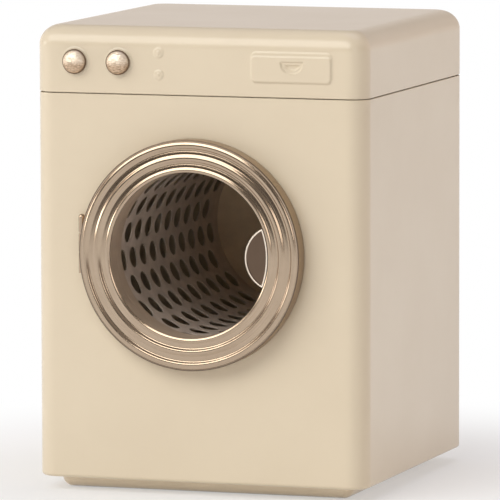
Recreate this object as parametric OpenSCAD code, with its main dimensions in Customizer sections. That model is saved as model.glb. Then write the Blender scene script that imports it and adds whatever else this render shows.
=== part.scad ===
// A doll's-house washing machine in painted sheet metal. The front faces -Y, the base stands on
// z = 0 and the origin is the middle of the base. The lid slips over a neck band, a ring door
// swings on a small hinge, a perforated drum turns on a collar and a stub axle, and two knobs turn.

/* [Cabinet] */
// Width of the cabinet
machine_w = 77.7; // [70:0.1:90]
// Depth of the cabinet, without the door
machine_d = 76.5; // [70:0.1:90]
// Height of the whole machine
machine_h = 105; // [100:0.5:115]
// Radius of the upright corners of cabinet and lid
corner_r = 4.4; // [3:0.1:6]
// Thickness of the painted sheet
sheet_t = 0.5; // [0.4:0.05:0.6]
// Radius of the edge that turns in under the cabinet
heel_r = 1; // [0.8:0.1:1.5]
// Width of the lapped seam inside the back wall
lap_w = 5; // [3:0.5:8]
// Distance of the lapped seam from the middle of the back
lap_x = 15; // [12:1:25]

/* [Base pan] */
// Height of the base pan below the cabinet
base_h = 3; // [2.5:0.1:4]
// Distance of the base pan in from the cabinet's sides
base_inset = 5.5; // [4:0.1:8]
// Radius of the base pan's upright corners
base_corner_r = 2.6; // [2.3:0.1:4]
// Radius of the base pan's lower edge
base_edge_r = 2; // [1:0.1:2.2]

/* [Lid] */
// Height of the lid above the seam
lid_h = 15.2; // [13.5:0.1:18]
// How much tighter the lid's top edge is than the upright corners
edge_step = 0.2; // [0.1:0.1:1]
// Height of the neck band above the seam
neck_rise = 4.6; // [3:0.1:5]
// Depth of the neck band below the seam
neck_grip = 5; // [3:0.1:8]
// Thickness of the neck band
neck_t = 0.4; // [0.3:0.05:0.6]
// Running gap between the neck band and the lid
lid_fit = 0.3; // [0.2:0.05:0.5]
// Gap left at the seam when the lid is on
seam_gap = 0.2; // [0.1:0.05:0.4]

/* [Knobs] */
// Distance of the left knob from the lid's left side
knob_in = 9.75; // [9:0.05:12]
// Distance between the two knobs
knob_pitch = 10.3; // [8.5:0.1:12]
// Height of the knobs above the seam
knob_up = 7.2; // [6.8:0.1:8.5]
// Diameter of a knob
knob_d = 5.8; // [5:0.1:6.5]
// Height of a knob's dome
knob_dome = 1.75; // [1.2:0.05:2.2]
// Height of the straight rim under the dome
knob_rim = 0.35; // [0.2:0.05:0.6]
// Diameter of a knob's shank
shank_d = 1.8; // [1.2:0.1:2]
// Depth of a knob's socket for its shank
socket_depth = 1; // [0.6:0.1:1.4]
// Running gap round a shank
shank_fit = 0.05; // [0.03:0.01:0.1]
// Diameter of the pressed seat round a knob
seat_d = 7.5; // [6.8:0.1:8.5]
// Height of the pressed seat
seat_h = 0.2; // [0.1:0.05:0.3]
// Diameter of the washer behind a knob
knob_washer_d = 3.2; // [2.8:0.1:3.6]
// Thickness of the washer behind a knob
knob_washer_t = 0.3; // [0.2:0.05:0.5]
// Diameter of a shank's riveted end
peen_d = 2.6; // [2.3:0.1:2.8]
// Thickness of a shank's riveted end
peen_t = 0.4; // [0.3:0.05:0.6]
// Play of a knob along its shank
knob_play = 0.1; // [0.05:0.05:0.2]

/* [Pressed front] */
// Width of the drawer relief
drawer_w = 18.85; // [15:0.1:22]
// Height of the drawer relief
drawer_h = 6.5; // [5:0.1:7]
// Distance of the drawer relief from the lid's right side
drawer_in = 7.7; // [6:0.1:12]
// Height of the drawer relief's middle above the seam
drawer_up = 6.85; // [6:0.1:7.5]
// Corner radius of the drawer relief
drawer_r = 1.3; // [0.8:0.1:2]
// Height of each of the drawer relief's two steps
drawer_step_h = 0.2; // [0.1:0.05:0.22]
// Width of the ledge between the two steps
drawer_step_w = 0.9; // [0.5:0.1:1.2]
// Radius of the half-round finger recess
recess_r = 2.6; // [2:0.1:2.9]
// Straight part above the finger recess's half circle
recess_straight = 0.3; // [0.1:0.1:0.5]
// Depth of the finger recess
recess_in = 0.7; // [0.4:0.05:0.9]
// Distance of the two pressed dimples from the middle of the lid
dimple_x = -9.35; // [-12:0.05:-8]
// Height of the lower dimple above the seam
dimple_up = 4.8; // [3.5:0.1:6]
// Distance between the two dimples
dimple_pitch = 4.9; // [3:0.1:6]
// Diameter of a dimple
dimple_d = 2.2; // [1.6:0.1:3]
// Height of a dimple
dimple_out = 0.35; // [0.2:0.05:0.45]

/* [Door] */
// Place of the door's middle across the front
door_x = -1; // [-2:0.1:2]
// Distance of the door's middle below the seam
door_drop = 35.2; // [30:0.1:40]
// Inner radius of the cabinet's door collar
collar_r = 18.6; // [16:0.1:20]
// Depth of the door collar
collar_len = 3.8; // [3:0.1:5]
// Bend radius where the front turns into the collar
bend_r = 1; // [0.7:0.1:1.2]
// Outer radius of the door ring
door_r = 25.7; // [24.5:0.1:27]
// Distance that the door ring stands out of the front
door_proud = 4.5; // [4:0.1:5.5]
// Step from the collar out to the door ring's lip
lip_step = 0.2; // [0.1:0.05:0.5]
// Wall thickness of the door ring
ring_t = 0.6; // [0.5:0.05:0.8]
// Thickness of the door ring's grooved face
face_t = 1.5; // [1.2:0.1:1.8]
// Radius of the door ring's outer front edge
rim_r = 0.8; // [0.4:0.1:1]
// Distance from one ridge of the door ring to the next
ridge_pitch = 2.75; // [2.5:0.05:2.8]
// Depth of the valleys between the ridges
ridge_depth = 0.45; // [0.3:0.05:0.7]
// Distance of the first ridge from the lip
first_ridge = 0.35; // [0.3:0.05:0.5]
// Width of a ridge along its top
ridge_top = 0.6; // [0.4:0.1:0.8]
// Gap between the closed door and the front
door_gap = 0.3; // [0.2:0.05:0.5]
// Gap between the lip and the front
lip_gap = 0.3; // [0.2:0.05:0.6]
// Width of a valley's steep side, towards the rim
ridge_rise = 0.75; // [0.6:0.05:0.9]
// Width of a valley's gentle side, towards the lip
ridge_fall = 0.35; // [0.2:0.05:0.5]

/* [Door back and tab] */
// Thickness of the liner behind the door ring
liner_t = 0.5; // [0.3:0.05:0.6]
// Gap round the liner
liner_fit = 0.1; // [0.05:0.05:0.3]
// Radius of the circle of door rivets
rivet_pcd_r = 22.2; // [21.5:0.1:22.8]
// Diameter of a door rivet's shank
rivet_d = 1.2; // [1:0.1:1.5]
// Diameter of a door rivet's head
rivet_head_d = 2.2; // [2:0.1:2.6]
// Thickness of a door rivet's head
rivet_head_t = 0.25; // [0.2:0.05:0.3]
// Half height of the pull tab
tab_half_h = 6.65; // [5:0.05:8]
// Width of the pull tab in the middle
tab_w = 5.35; // [4:0.05:6]
// Thickness of the pull tab
tab_t = 0.5; // [0.4:0.05:0.7]
// Depth of the pull tab's face behind the ring's face
tab_back = 0.4; // [0.2:0.05:0.8]
// Gap between the pull tab and the lip
tab_gap = 0.25; // [0.15:0.05:0.4]
// Width of the pull tab's raised rim
tab_rim_w = 0.5; // [0.3:0.05:0.7]
// Height of the pull tab's raised rim
tab_rim_h = 0.25; // [0.1:0.05:0.35]
// Half height of the lug that joins the pull tab to the lip
lug_half_h = 2; // [1:0.1:3]

/* [Hinge] */
// Distance of the hinge's axis beyond the door's edge
hinge_off = 0.65; // [0.6:0.05:1]
// Distance of the hinge's axis out of the front
hinge_out = 0.9; // [0.85:0.05:1.2]
// Distance of the hinge's lower end below the door's middle
hinge_drop = 4.6; // [3:0.1:6]
// Length of a hinge knuckle
knuckle_len = 4.1; // [3:0.1:4.5]
// Radius of a hinge knuckle
knuckle_r = 0.75; // [0.65:0.05:0.8]
// Radius of the hinge pin
pin_r = 0.42; // [0.3:0.01:0.45]
// Running gap round the hinge pin
pin_fit = 0.05; // [0.03:0.01:0.1]
// Gap between hinge knuckles
knuckle_gap = 0.3; // [0.2:0.05:0.4]
// Clearance round the hinge in the door ring
notch_fit = 0.35; // [0.3:0.05:0.5]
// Thickness of the hinge leaves
leaf_t = 0.4; // [0.3:0.05:0.5]
// Width of the leaf behind the front
inner_leaf_w = 8; // [6:0.5:10]
// Length of the leaf under the door ring
door_leaf_len = 5.3; // [5:0.1:6]

/* [Drum] */
// Running gap between the collar and the drum
drum_fit = 0.2; // [0.15:0.05:0.4]
// Thickness of the drum's sheet
drum_t = 0.4; // [0.3:0.05:0.5]
// Depth of the drum's front edge behind the front
drum_front = 2; // [1.8:0.1:2.4]
// Width of the drum's turned-out front flange
drum_flange_w = 1; // [0.6:0.1:1.5]
// Room behind the drum for its axle
hub_space = 3.1; // [2.9:0.1:4]
// Number of rows of holes round the drum
hole_rows = 20; // [16:2:22]
// Diameter of a hole in the drum
hole_d = 4.2; // [3.5:0.1:4.6]
// Distance between holes along a row
hole_pitch = 6.73; // [6:0.01:8]
// Distance of the first hole from the drum's front edge
hole_first = 4.2; // [4:0.1:5]
// Turn of the first row of holes above the left-hand side
hole_turn = 27.95; // [0:0.05:36]
// Panels that the drum's wall is rolled from
drum_panels = 4; // [2:1:5]
// Hairline between two panels
drum_seam = 0.1; // [0.05:0.05:0.3]
// Length of the drum back's rim
back_rim = 2; // [1.5:0.1:2.3]

/* [Drum axle] */
// Radius of the axle's journal
journal_r = 1.5; // [1.2:0.1:2]
// Running gap between journal and bush
journal_fit = 0.05; // [0.03:0.01:0.1]
// Radius of the axle's flange
axle_flange_r = 4.5; // [3.5:0.1:6]
// Thickness of the axle's flange
axle_flange_t = 0.6; // [0.4:0.1:0.8]
// Radius of the bush's barrel
bush_r = 2.5; // [2.3:0.1:3]
// Radius of the bush's flange
bush_flange_r = 3.6; // [3.2:0.1:4]
// Thickness of the bush's flange
bush_flange_t = 0.5; // [0.4:0.1:0.6]
// Radius of the thrust washer
thrust_r = 3; // [2.5:0.1:3.5]
// Thickness of the thrust washer
thrust_t = 0.4; // [0.3:0.1:0.5]
// End play on each side of the thrust washer
end_play = 0.1; // [0.05:0.05:0.15]
// Radius of the raised middle of the bearing plate
boss_r = 5; // [4.5:0.1:6]
// Outer radius of the bearing plate
plate_r = 9; // [7:0.1:10]

/* [Hidden] */
$fn = 64;

paint = [0.87, 0.81, 0.71];
brass = [0.68, 0.58, 0.46];
steel = [0.62, 0.6, 0.58];
drum_metal = [0.45, 0.4, 0.36];

cut = 1;
front_y = -machine_d / 2;
back_y = machine_d / 2;
inner_w = machine_w - 2 * sheet_t;
inner_d = machine_d - 2 * sheet_t;
inner_r = corner_r - sheet_t;
seam_z = machine_h - lid_h;
body_h = seam_z - base_h;
lid_z = seam_z + seam_gap;
lid_edge_r = corner_r - edge_step;

pan_w = machine_w - 2 * base_inset;
pan_d = machine_d - 2 * base_inset;
pan_top = base_h + 2 * sheet_t;

door_z = seam_z - door_drop;
lip_r = collar_r + lip_step;
liner_a = door_gap + rivet_head_t;
tab_face = door_proud - tab_back;
tab_r = lip_r - tab_gap;
tab_tip = sqrt(tab_r * tab_r - tab_half_h * tab_half_h);
tab_sag = tab_tip - (tab_r - tab_w);
tab_arc_r = (tab_half_h * tab_half_h + tab_sag * tab_sag) / (2 * tab_sag);

hinge_x = door_x - door_r - hinge_off;
hinge_z = door_z - hinge_drop;
hinge_y = front_y - hinge_out;
bore_r = pin_r + pin_fit;
notch_r = knuckle_r + notch_fit;
door_knuckle_z = hinge_z + knuckle_len + knuckle_gap;
top_knuckle_z = door_knuckle_z + knuckle_len + knuckle_gap;
hinge_top = top_knuckle_z + knuckle_len;
hinge_h = hinge_top - hinge_z;
leaf_mid_z = door_knuckle_z + knuckle_len / 2;
first_rivet = 180 - asin((leaf_mid_z - door_z) / rivet_pcd_r);
leaf_a = liner_a + liner_t;
face_a = door_proud - face_t;

drum_r = collar_r + sheet_t + drum_fit;
drum_end = machine_d - sheet_t - hub_space;
drum_len = drum_end - drum_t - drum_front;
row_angle = 360 / hole_rows;
row_len = drum_len - back_rim - hole_first - hole_d / 2;
boss_h = hub_space - axle_flange_t - thrust_t - 2 * end_play - bush_flange_t;
thrust_a = boss_h + bush_flange_t + end_play;

left_knob_x = knob_in - machine_w / 2;
right_knob_x = left_knob_x + knob_pitch;
knob_z = seam_z + knob_up;
knob_dome_r = (knob_d * knob_d / 4 + knob_dome * knob_dome) / (2 * knob_dome);
knob_base = seat_h + knob_play;
washer_a = seat_h - sheet_t - knob_play - knob_washer_t;
drawer_x = machine_w / 2 - drawer_in - drawer_w / 2;
drawer_out = 2 * drawer_step_h;
dimple_r = (dimple_d * dimple_d / 4 + dimple_out * dimple_out) / (2 * dimple_out);

// Places its children on the front, with z out of the front and y upwards
module on_front(x, z) {
    translate([x, front_y, z]) rotate([90, 0, 0]) children();
}

module at_door() {
    on_front(door_x, door_z) children();
}

// Places its children inside the back wall, with z towards the front
module at_hub() {
    translate([door_x, back_y - sheet_t, door_z]) rotate([90, 0, 0]) children();
}

module tube(outer, inner, h) {
    difference() {
        cylinder(h = h, r = outer);
        translate([0, 0, -cut]) cylinder(h = h + 2 * cut, r = inner);
    }
}

module rounded_rect(w, d, r) {
    square([w - 2 * r, d], center = true);
    square([w, d - 2 * r], center = true);
    for (x = [-1, 1], y = [-1, 1])
        translate([x * (w / 2 - r), y * (d / 2 - r)]) circle(r);
}

module upright_block(w, d, h, r) {
    linear_extrude(h) rounded_rect(w, d, r);
}

// Section with both lower corners rounded
module skid(w, h, r) {
    translate([-w / 2, r]) square([w, h - r]);
    translate([-w / 2 + r, 0]) square([w - 2 * r, h]);
    for (x = [-1, 1])
        translate([x * (w / 2 - r), r]) circle(r);
}

// A block with round upright corners and a round lower edge, standing on z = 0
module soft_block(w, d, h, upright_r, edge_r) {
    for (x = [-1, 1], y = [-1, 1])
        translate([x * (w / 2 - upright_r), y * (d / 2 - upright_r), 0])
        rotate_extrude()
        intersection() {
            skid(2 * upright_r, h, edge_r);
            square([upright_r, h]);
        }
    rotate([90, 0, 0])
        linear_extrude(d - 2 * upright_r, center = true) skid(w, h, edge_r);
    rotate([90, 0, 90])
        linear_extrude(w - 2 * upright_r, center = true) skid(d, h, edge_r);
}

// Front turned inwards round the door opening, drawn in the plane of radius and depth
module collar_section() {
    translate([collar_r, -collar_len]) square([sheet_t, collar_len - bend_r]);
    intersection() {
        translate([collar_r + bend_r, -bend_r])
        difference() {
            circle(bend_r);
            circle(bend_r - sheet_t);
        }
        translate([collar_r, -bend_r]) square(bend_r);
    }
}

module cabinet_shell() {
    color(paint) {
        difference() {
            translate([0, 0, base_h])
                soft_block(machine_w, machine_d, body_h, corner_r, heel_r);
            translate([0, 0, base_h + sheet_t])
                soft_block(inner_w, inner_d, body_h, inner_r, heel_r - sheet_t);
            translate([0, 0, base_h - cut])
                upright_block(pan_w, pan_d, sheet_t + 2 * cut, base_corner_r);
            at_door()
                translate([0, 0, -2 * sheet_t])
                cylinder(h = 4 * sheet_t, r = collar_r + bend_r);
            for (z = [hinge_z, top_knuckle_z])
                translate([hinge_x - knuckle_r / 2, front_y - cut, z])
                cube([knuckle_r, 2 * cut, knuckle_len]);
        }
        at_door() rotate_extrude() collar_section();
        translate([lap_x, back_y - 2 * sheet_t, pan_top])
            cube([lap_w, 1.5 * sheet_t, seam_z - neck_grip - pan_top]);
    }
}

module base_pan() {
    color(paint)
    difference() {
        union() {
            soft_block(pan_w, pan_d, pan_top, base_corner_r, base_edge_r);
            translate([0, 0, base_h + sheet_t])
                upright_block(machine_w - 2 * heel_r, machine_d - 2 * heel_r, sheet_t,
                              corner_r - heel_r);
        }
        translate([0, 0, sheet_t])
            soft_block(pan_w - 2 * sheet_t, pan_d - 2 * sheet_t, pan_top,
                       base_corner_r - sheet_t, base_edge_r - sheet_t);
    }
}

// Band fixed inside the cabinet's top, stepped in above the seam so that the lid slips over it
module neck_band() {
    step = 2 * lid_fit;
    wall = 2 * neck_t;
    joggle_z = neck_grip - neck_t;
    full_h = neck_grip + neck_rise;
    color(paint)
    translate([0, 0, seam_z - neck_grip])
    difference() {
        union() {
            upright_block(inner_w, inner_d, joggle_z, inner_r);
            upright_block(inner_w - step, inner_d - step, full_h, inner_r - lid_fit);
        }
        translate([0, 0, -cut])
            upright_block(inner_w - wall, inner_d - wall, joggle_z - neck_t + cut,
                          inner_r - neck_t);
        translate([0, 0, -cut])
            upright_block(inner_w - step - wall, inner_d - step - wall, full_h + 2 * cut,
                          inner_r - lid_fit - neck_t);
    }
}

module knuckle(z, closed) {
    translate([hinge_x, hinge_y, z])
    difference() {
        union() {
            cylinder(h = knuckle_len - (closed ? knuckle_r : 0), r = knuckle_r);
            if (closed)
                translate([0, 0, knuckle_len - knuckle_r]) sphere(knuckle_r);
        }
        translate([0, 0, -cut])
            cylinder(h = knuckle_len + cut - (closed ? knuckle_r : -cut), r = bore_r);
    }
}

// Two knuckles whose tongues pass through the front to one leaf behind it
module hinge_bracket() {
    color(paint) {
        for (z = [hinge_z, top_knuckle_z]) {
            knuckle(z, z == top_knuckle_z);
            difference() {
                translate([hinge_x - knuckle_r / 2, hinge_y, z])
                    cube([knuckle_r, hinge_out + sheet_t, knuckle_len - knuckle_r / 2]);
                translate([hinge_x, hinge_y, z - cut])
                    cylinder(h = knuckle_len + 2 * cut, r = bore_r);
            }
        }
        translate([hinge_x - inner_leaf_w / 2, front_y + sheet_t, hinge_z])
            cube([inner_leaf_w, leaf_t, hinge_h]);
    }
}

module hinge_pin() {
    color(steel)
    translate([hinge_x, hinge_y, hinge_z]) {
        cylinder(h = hinge_h - knuckle_r - pin_fit, r = pin_r);
        translate([0, 0, -leaf_t]) cylinder(h = leaf_t, r = knuckle_r);
    }
}

module bearing_plate() {
    color(steel)
    at_hub()
    rotate_extrude() {
        translate([boss_r - sheet_t, 0]) square([plate_r - boss_r + sheet_t, sheet_t]);
        translate([boss_r - sheet_t, 0]) square([sheet_t, boss_h]);
        translate([bush_r, boss_h - sheet_t]) square([boss_r - bush_r, sheet_t]);
    }
}

module drum_bush() {
    color(brass)
    at_hub()
    difference() {
        union() {
            cylinder(h = boss_h, r = bush_r);
            translate([0, 0, boss_h]) cylinder(h = bush_flange_t, r = bush_flange_r);
        }
        translate([0, 0, -cut])
            cylinder(h = hub_space + cut, r = journal_r + journal_fit);
    }
}

// Half-round outline, flat side up, with its top edge on y = 0
module half_moon(r, straight) {
    translate([-r, -straight]) square([2 * r, straight]);
    translate([0, -straight])
    intersection() {
        circle(r);
        translate([-r, -r]) square([2 * r, r]);
    }
}

// What the press pushes out of the lid's front (inset = 0) or hollows behind it (inset = sheet_t)
module pressed_out(inset) {
    root = -sheet_t / 2 - 2 * inset;
    for (x = [left_knob_x, right_knob_x])
        on_front(x, knob_z)
        translate([0, 0, root])
        cylinder(h = seat_h - inset - root, d = seat_d - 2 * inset);
    on_front(drawer_x, seam_z + drawer_up)
        for (step = [0, 1])
            translate([0, 0, root])
            upright_block(drawer_w - 2 * (step * drawer_step_w + inset),
                          drawer_h - 2 * (step * drawer_step_w + inset),
                          (step + 1) * drawer_step_h - inset - root,
                          drawer_r - inset);
    for (up = [dimple_up, dimple_up + dimple_pitch])
        on_front(dimple_x, seam_z + up)
        intersection() {
            translate([0, 0, dimple_out - dimple_r]) sphere(dimple_r - inset);
            translate([0, 0, root]) cylinder(h = dimple_out - root, r = dimple_d);
        }
}

module lid_shell() {
    skirt_h = machine_h - lid_z;
    recess_top = seam_z + drawer_up + recess_r / 2;
    color(paint)
    difference() {
        union() {
            difference() {
                union() {
                    translate([0, 0, machine_h])
                        mirror([0, 0, 1])
                        soft_block(machine_w, machine_d, skirt_h, corner_r, lid_edge_r);
                    pressed_out(0);
                }
                translate([0, 0, machine_h - sheet_t])
                    mirror([0, 0, 1])
                    soft_block(inner_w, inner_d, skirt_h, inner_r, lid_edge_r - sheet_t);
                pressed_out(sheet_t);
            }
            on_front(drawer_x, recess_top)
                translate([0, 0, drawer_out - recess_in - sheet_t])
                linear_extrude(recess_in)
                half_moon(recess_r + sheet_t, recess_straight + sheet_t);
        }
        on_front(drawer_x, recess_top)
            translate([0, 0, drawer_out - recess_in])
            linear_extrude(recess_in + cut)
            half_moon(recess_r, recess_straight);
        for (x = [left_knob_x, right_knob_x])
            on_front(x, knob_z)
            translate([0, 0, -2 * sheet_t])
            cylinder(h = 2 * sheet_t + seat_h + cut, d = shank_d + 2 * shank_fit);
    }
}

module knob(x) {
    color(brass)
    on_front(x, knob_z)
    translate([0, 0, knob_base])
    difference() {
        union() {
            cylinder(h = knob_rim, d = knob_d);
            intersection() {
                translate([0, 0, knob_rim + knob_dome - knob_dome_r]) sphere(knob_dome_r);
                translate([0, 0, knob_rim / 2]) cylinder(h = knob_dome_r, d = knob_d);
            }
        }
        translate([0, 0, -cut]) cylinder(h = socket_depth + cut, d = shank_d);
    }
}

module knob_shank(x) {
    shank_end = washer_a - peen_t;
    color(steel)
    on_front(x, knob_z) {
        translate([0, 0, shank_end])
            cylinder(h = knob_base + socket_depth - shank_end, d = shank_d);
        translate([0, 0, shank_end]) cylinder(h = peen_t, d = peen_d);
    }
}

module knob_washer(x) {
    color(steel)
    on_front(x, knob_z)
    translate([0, 0, washer_a])
    tube(knob_washer_d / 2, shank_d / 2, knob_washer_t);
}

// Section of the door ring, drawn in the plane of radius and distance out of the front
module ring_section() {
    face_w = door_r - lip_r;
    difference() {
        union() {
            translate([lip_r, face_a]) square([face_w, face_t - rim_r]);
            translate([lip_r, face_a]) square([face_w - rim_r, face_t]);
            translate([door_r - rim_r, door_proud - rim_r]) circle(rim_r);
            translate([door_r - ring_t, door_gap]) square([ring_t, face_a - door_gap]);
            translate([lip_r, lip_gap + ring_t / 2])
                square([ring_t, face_a - lip_gap - ring_t / 2]);
            translate([lip_r + ring_t / 2, lip_gap + ring_t / 2]) circle(ring_t / 2);
        }
        for (ridge = [0 : 1])
            translate([lip_r + first_ridge + ridge * ridge_pitch, door_proud])
            polygon([
                [ridge_top / 2, cut], [ridge_top / 2, 0],
                [ridge_top / 2 + ridge_fall, -ridge_depth / 2],
                [ridge_pitch - ridge_top / 2 - ridge_rise, -ridge_depth],
                [ridge_pitch - ridge_top / 2, 0], [ridge_pitch - ridge_top / 2, cut]
            ]);
    }
}

module door_ring() {
    color(brass)
    difference() {
        at_door() rotate_extrude() ring_section();
        translate([hinge_x, hinge_y, hinge_z - leaf_t - notch_fit])
            cylinder(h = hinge_h + leaf_t + 2 * notch_fit, r = notch_r);
        translate([hinge_x, front_y - leaf_a - leaf_t - liner_fit, door_knuckle_z - liner_fit])
            cube([notch_r + 2 * ring_t, leaf_t + 2 * liner_fit, knuckle_len + 2 * liner_fit]);
    }
}

module at_rivets() {
    at_door()
    for (k = [0 : 3])
        rotate([0, 0, first_rivet + 90 * k]) translate([rivet_pcd_r, 0, 0]) children();
}

module rivet_holes() {
    at_rivets() cylinder(h = door_proud - face_t, d = rivet_d + 2 * liner_fit);
}

module door_liner() {
    color(brass)
    difference() {
        at_door()
            translate([0, 0, liner_a])
            tube(door_r - ring_t - liner_fit, lip_r + ring_t + liner_fit, liner_t);
        rivet_holes();
        translate([hinge_x, hinge_y, hinge_z])
            cylinder(h = hinge_h, r = notch_r);
    }
}

module door_knuckle() {
    color(brass)
    difference() {
        union() {
            knuckle(door_knuckle_z, false);
            translate([hinge_x, front_y - leaf_a - leaf_t, door_knuckle_z])
                cube([door_leaf_len, leaf_t, knuckle_len]);
        }
        translate([hinge_x, hinge_y, door_knuckle_z - cut])
            cylinder(h = knuckle_len + 2 * cut, r = bore_r);
        rivet_holes();
    }
}

module door_rivets() {
    color(steel)
    at_rivets() {
        translate([0, 0, liner_a - rivet_head_t])
            cylinder(h = rivet_head_t, d = rivet_head_d);
        translate([0, 0, liner_a])
            cylinder(h = face_a - liner_a, d = rivet_d);
    }
}

// Lens between the lip's circle and a smaller arc that bulges to the left
module tab_outline(inset, reach) {
    intersection() {
        circle(reach - inset);
        translate([tab_r - tab_w + tab_arc_r, 0]) circle(tab_arc_r - inset);
    }
}

module pull_tab() {
    color(brass)
    at_door()
    translate([0, 0, tab_face - tab_t]) {
        linear_extrude(tab_t) {
            tab_outline(0, tab_r);
            intersection() {
                tab_outline(0, lip_r);
                translate([0, -lug_half_h]) square([lip_r, 2 * lug_half_h]);
            }
        }
        translate([0, 0, tab_t])
        linear_extrude(tab_rim_h)
        difference() {
            tab_outline(0, tab_r);
            tab_outline(tab_rim_w, tab_r);
        }
    }
}

// Radial cutters: alternate rows are shifted by half a pitch
module drum_holes() {
    for (row = [0 : hole_rows - 1]) {
        shift = hole_first + (row % 2) * hole_pitch / 2;
        count = floor((row_len - shift + hole_first) / hole_pitch) + 1;
        rotate([0, 0, 180 - hole_turn + row * row_angle])
        for (k = [0 : count - 1])
            translate([drum_r - cut, 0, -drum_front - shift - k * hole_pitch])
            rotate([0, 90, 0]) cylinder(h = drum_t + 2 * cut, d = hole_d);
    }
}

// Hairlines between the panels, each midway between two rows of holes
module drum_seams() {
    for (panel = [0 : drum_panels - 1]) {
        row = floor(panel * hole_rows / drum_panels) + 0.5;
        rotate([0, 0, 180 - hole_turn + row * row_angle])
            translate([drum_r - cut, -drum_seam / 2, -machine_d])
            cube([drum_t + drum_flange_w + 2 * cut, drum_seam, machine_d]);
    }
}

module drum_shell() {
    color(drum_metal)
    at_door()
    difference() {
        union() {
            translate([0, 0, -drum_front - drum_len])
                cylinder(h = drum_len, r = drum_r + drum_t);
            translate([0, 0, -drum_front - drum_t])
                cylinder(h = drum_t, r = drum_r + drum_t + drum_flange_w);
        }
        translate([0, 0, -machine_d]) cylinder(h = machine_d, r = drum_r);
        drum_holes();
        drum_seams();
    }
}

module drum_back() {
    cap_r = drum_r + 2 * drum_t;
    color(drum_metal)
    at_door()
    translate([0, 0, -drum_end])
    difference() {
        cylinder(h = drum_t + back_rim, r = cap_r);
        translate([0, 0, drum_t]) cylinder(h = back_rim + cut, r = drum_r + drum_t);
    }
}

module drum_axle() {
    color(steel)
    at_hub() {
        translate([0, 0, end_play]) cylinder(h = hub_space - end_play, r = journal_r);
        translate([0, 0, hub_space - axle_flange_t])
            cylinder(h = axle_flange_t, r = axle_flange_r);
    }
}

module thrust_washer() {
    color(brass)
    at_hub()
    translate([0, 0, thrust_a])
    tube(thrust_r, journal_r + journal_fit, thrust_t);
}

cabinet_shell();
base_pan();
neck_band();
hinge_bracket();
hinge_pin();
bearing_plate();
drum_bush();
lid_shell();
knob(left_knob_x);  // knob_left
knob_shank(left_knob_x);  // knob_shank_left
knob_washer(left_knob_x);  // knob_washer_left
knob(right_knob_x);  // knob_right
knob_shank(right_knob_x);  // knob_shank_right
knob_washer(right_knob_x);  // knob_washer_right
door_ring();
door_liner();
door_knuckle();
door_rivets();
pull_tab();
drum_shell();
drum_back();
drum_axle();
thrust_washer();
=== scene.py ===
# %% [markdown]
# # A doll's-house washing machine
# The machine is a small sheet-metal toy: a painted cabinet, a pressed lid, a spun metal door ring,
# two hammered knobs and a perforated drum. The construction comes as a fixed frame of solids, and
# this lesson dresses it. Each step says what the real piece is, how it could be modelled, and why
# one way was chosen.
#
# Everything is in metres and stands where the frame says, so sizes are read from the frame.

# %% Load the frame
import math

import bmesh
import bpy
from mathutils import Matrix, Vector, noise


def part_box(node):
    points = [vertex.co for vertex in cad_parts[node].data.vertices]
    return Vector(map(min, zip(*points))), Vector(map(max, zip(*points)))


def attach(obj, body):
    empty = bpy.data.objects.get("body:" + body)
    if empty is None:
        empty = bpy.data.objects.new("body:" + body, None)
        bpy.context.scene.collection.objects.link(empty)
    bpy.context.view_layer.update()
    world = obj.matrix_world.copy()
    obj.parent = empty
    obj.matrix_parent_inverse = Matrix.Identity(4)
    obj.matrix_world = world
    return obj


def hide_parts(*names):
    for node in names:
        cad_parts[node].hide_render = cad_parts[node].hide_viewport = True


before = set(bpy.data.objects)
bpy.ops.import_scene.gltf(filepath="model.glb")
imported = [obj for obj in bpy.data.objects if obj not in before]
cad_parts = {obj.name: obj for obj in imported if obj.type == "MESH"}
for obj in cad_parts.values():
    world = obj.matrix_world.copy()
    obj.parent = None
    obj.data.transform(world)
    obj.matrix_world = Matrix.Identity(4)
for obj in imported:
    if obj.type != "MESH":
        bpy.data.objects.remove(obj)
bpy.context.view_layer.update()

MM = 0.001
print("frame:", sorted(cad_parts))

# %% [markdown]
# ## Places read from the frame
# A piece that replaces a solid has to lie where the solid lies. The cabinet's box gives the planes
# of its front and sides, the ring's box gives the door's axis, and the drum's boxes give its depth and
# radius.

# %% Planes and centres
def box(node):
    """Lowest and highest corner of a node, as vectors."""
    low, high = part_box(node)
    return Vector(low), Vector(high)


cab_low, cab_high = box("cabinet_shell")
lid_low, lid_high = box("lid_shell")
ring_low, ring_high = box("door_ring")
drum_low, drum_high = box("drum_shell")
cap_low, cap_high = box("drum_back")

HALF_W = (cab_high.x - cab_low.x) / 2
HALF_D = (cab_high.y - cab_low.y) / 2
FRONT_Y = cab_low.y
SEAM_Z = cab_high.z
DOOR_X = (ring_low.x + ring_high.x) / 2
DOOR_Z = (ring_low.z + ring_high.z) / 2
RING_R = (ring_high.z - ring_low.z) / 2
PROUD = FRONT_Y - ring_low.y
SHEET = 0.5 * MM
print(f"cabinet {2000 * HALF_W:.1f} x {2000 * HALF_D:.1f} mm, seam at {1000 * SEAM_Z:.1f} mm")
print(f"door axis at x {1000 * DOOR_X:.1f}, z {1000 * DOOR_Z:.1f}, ring radius {1000 * RING_R:.1f} mm")

# %% [markdown]
# ## Small mesh tools
# Most pieces are a profile carried round something: round an axis for turned parts, or round a
# rounded rectangle for pressed boxes. Writing the rings of points costs a few lines and
# gives clean quads, where cutting and bevelling boxes would leave uneven faces at the corners.

# %% Mesh helpers
SHARP_ANGLE = math.radians(40)


def ease(t):
    """Smooth step from 0 to 1."""
    t = min(1.0, max(0.0, t))
    return t * t * (3 - 2 * t)


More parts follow.
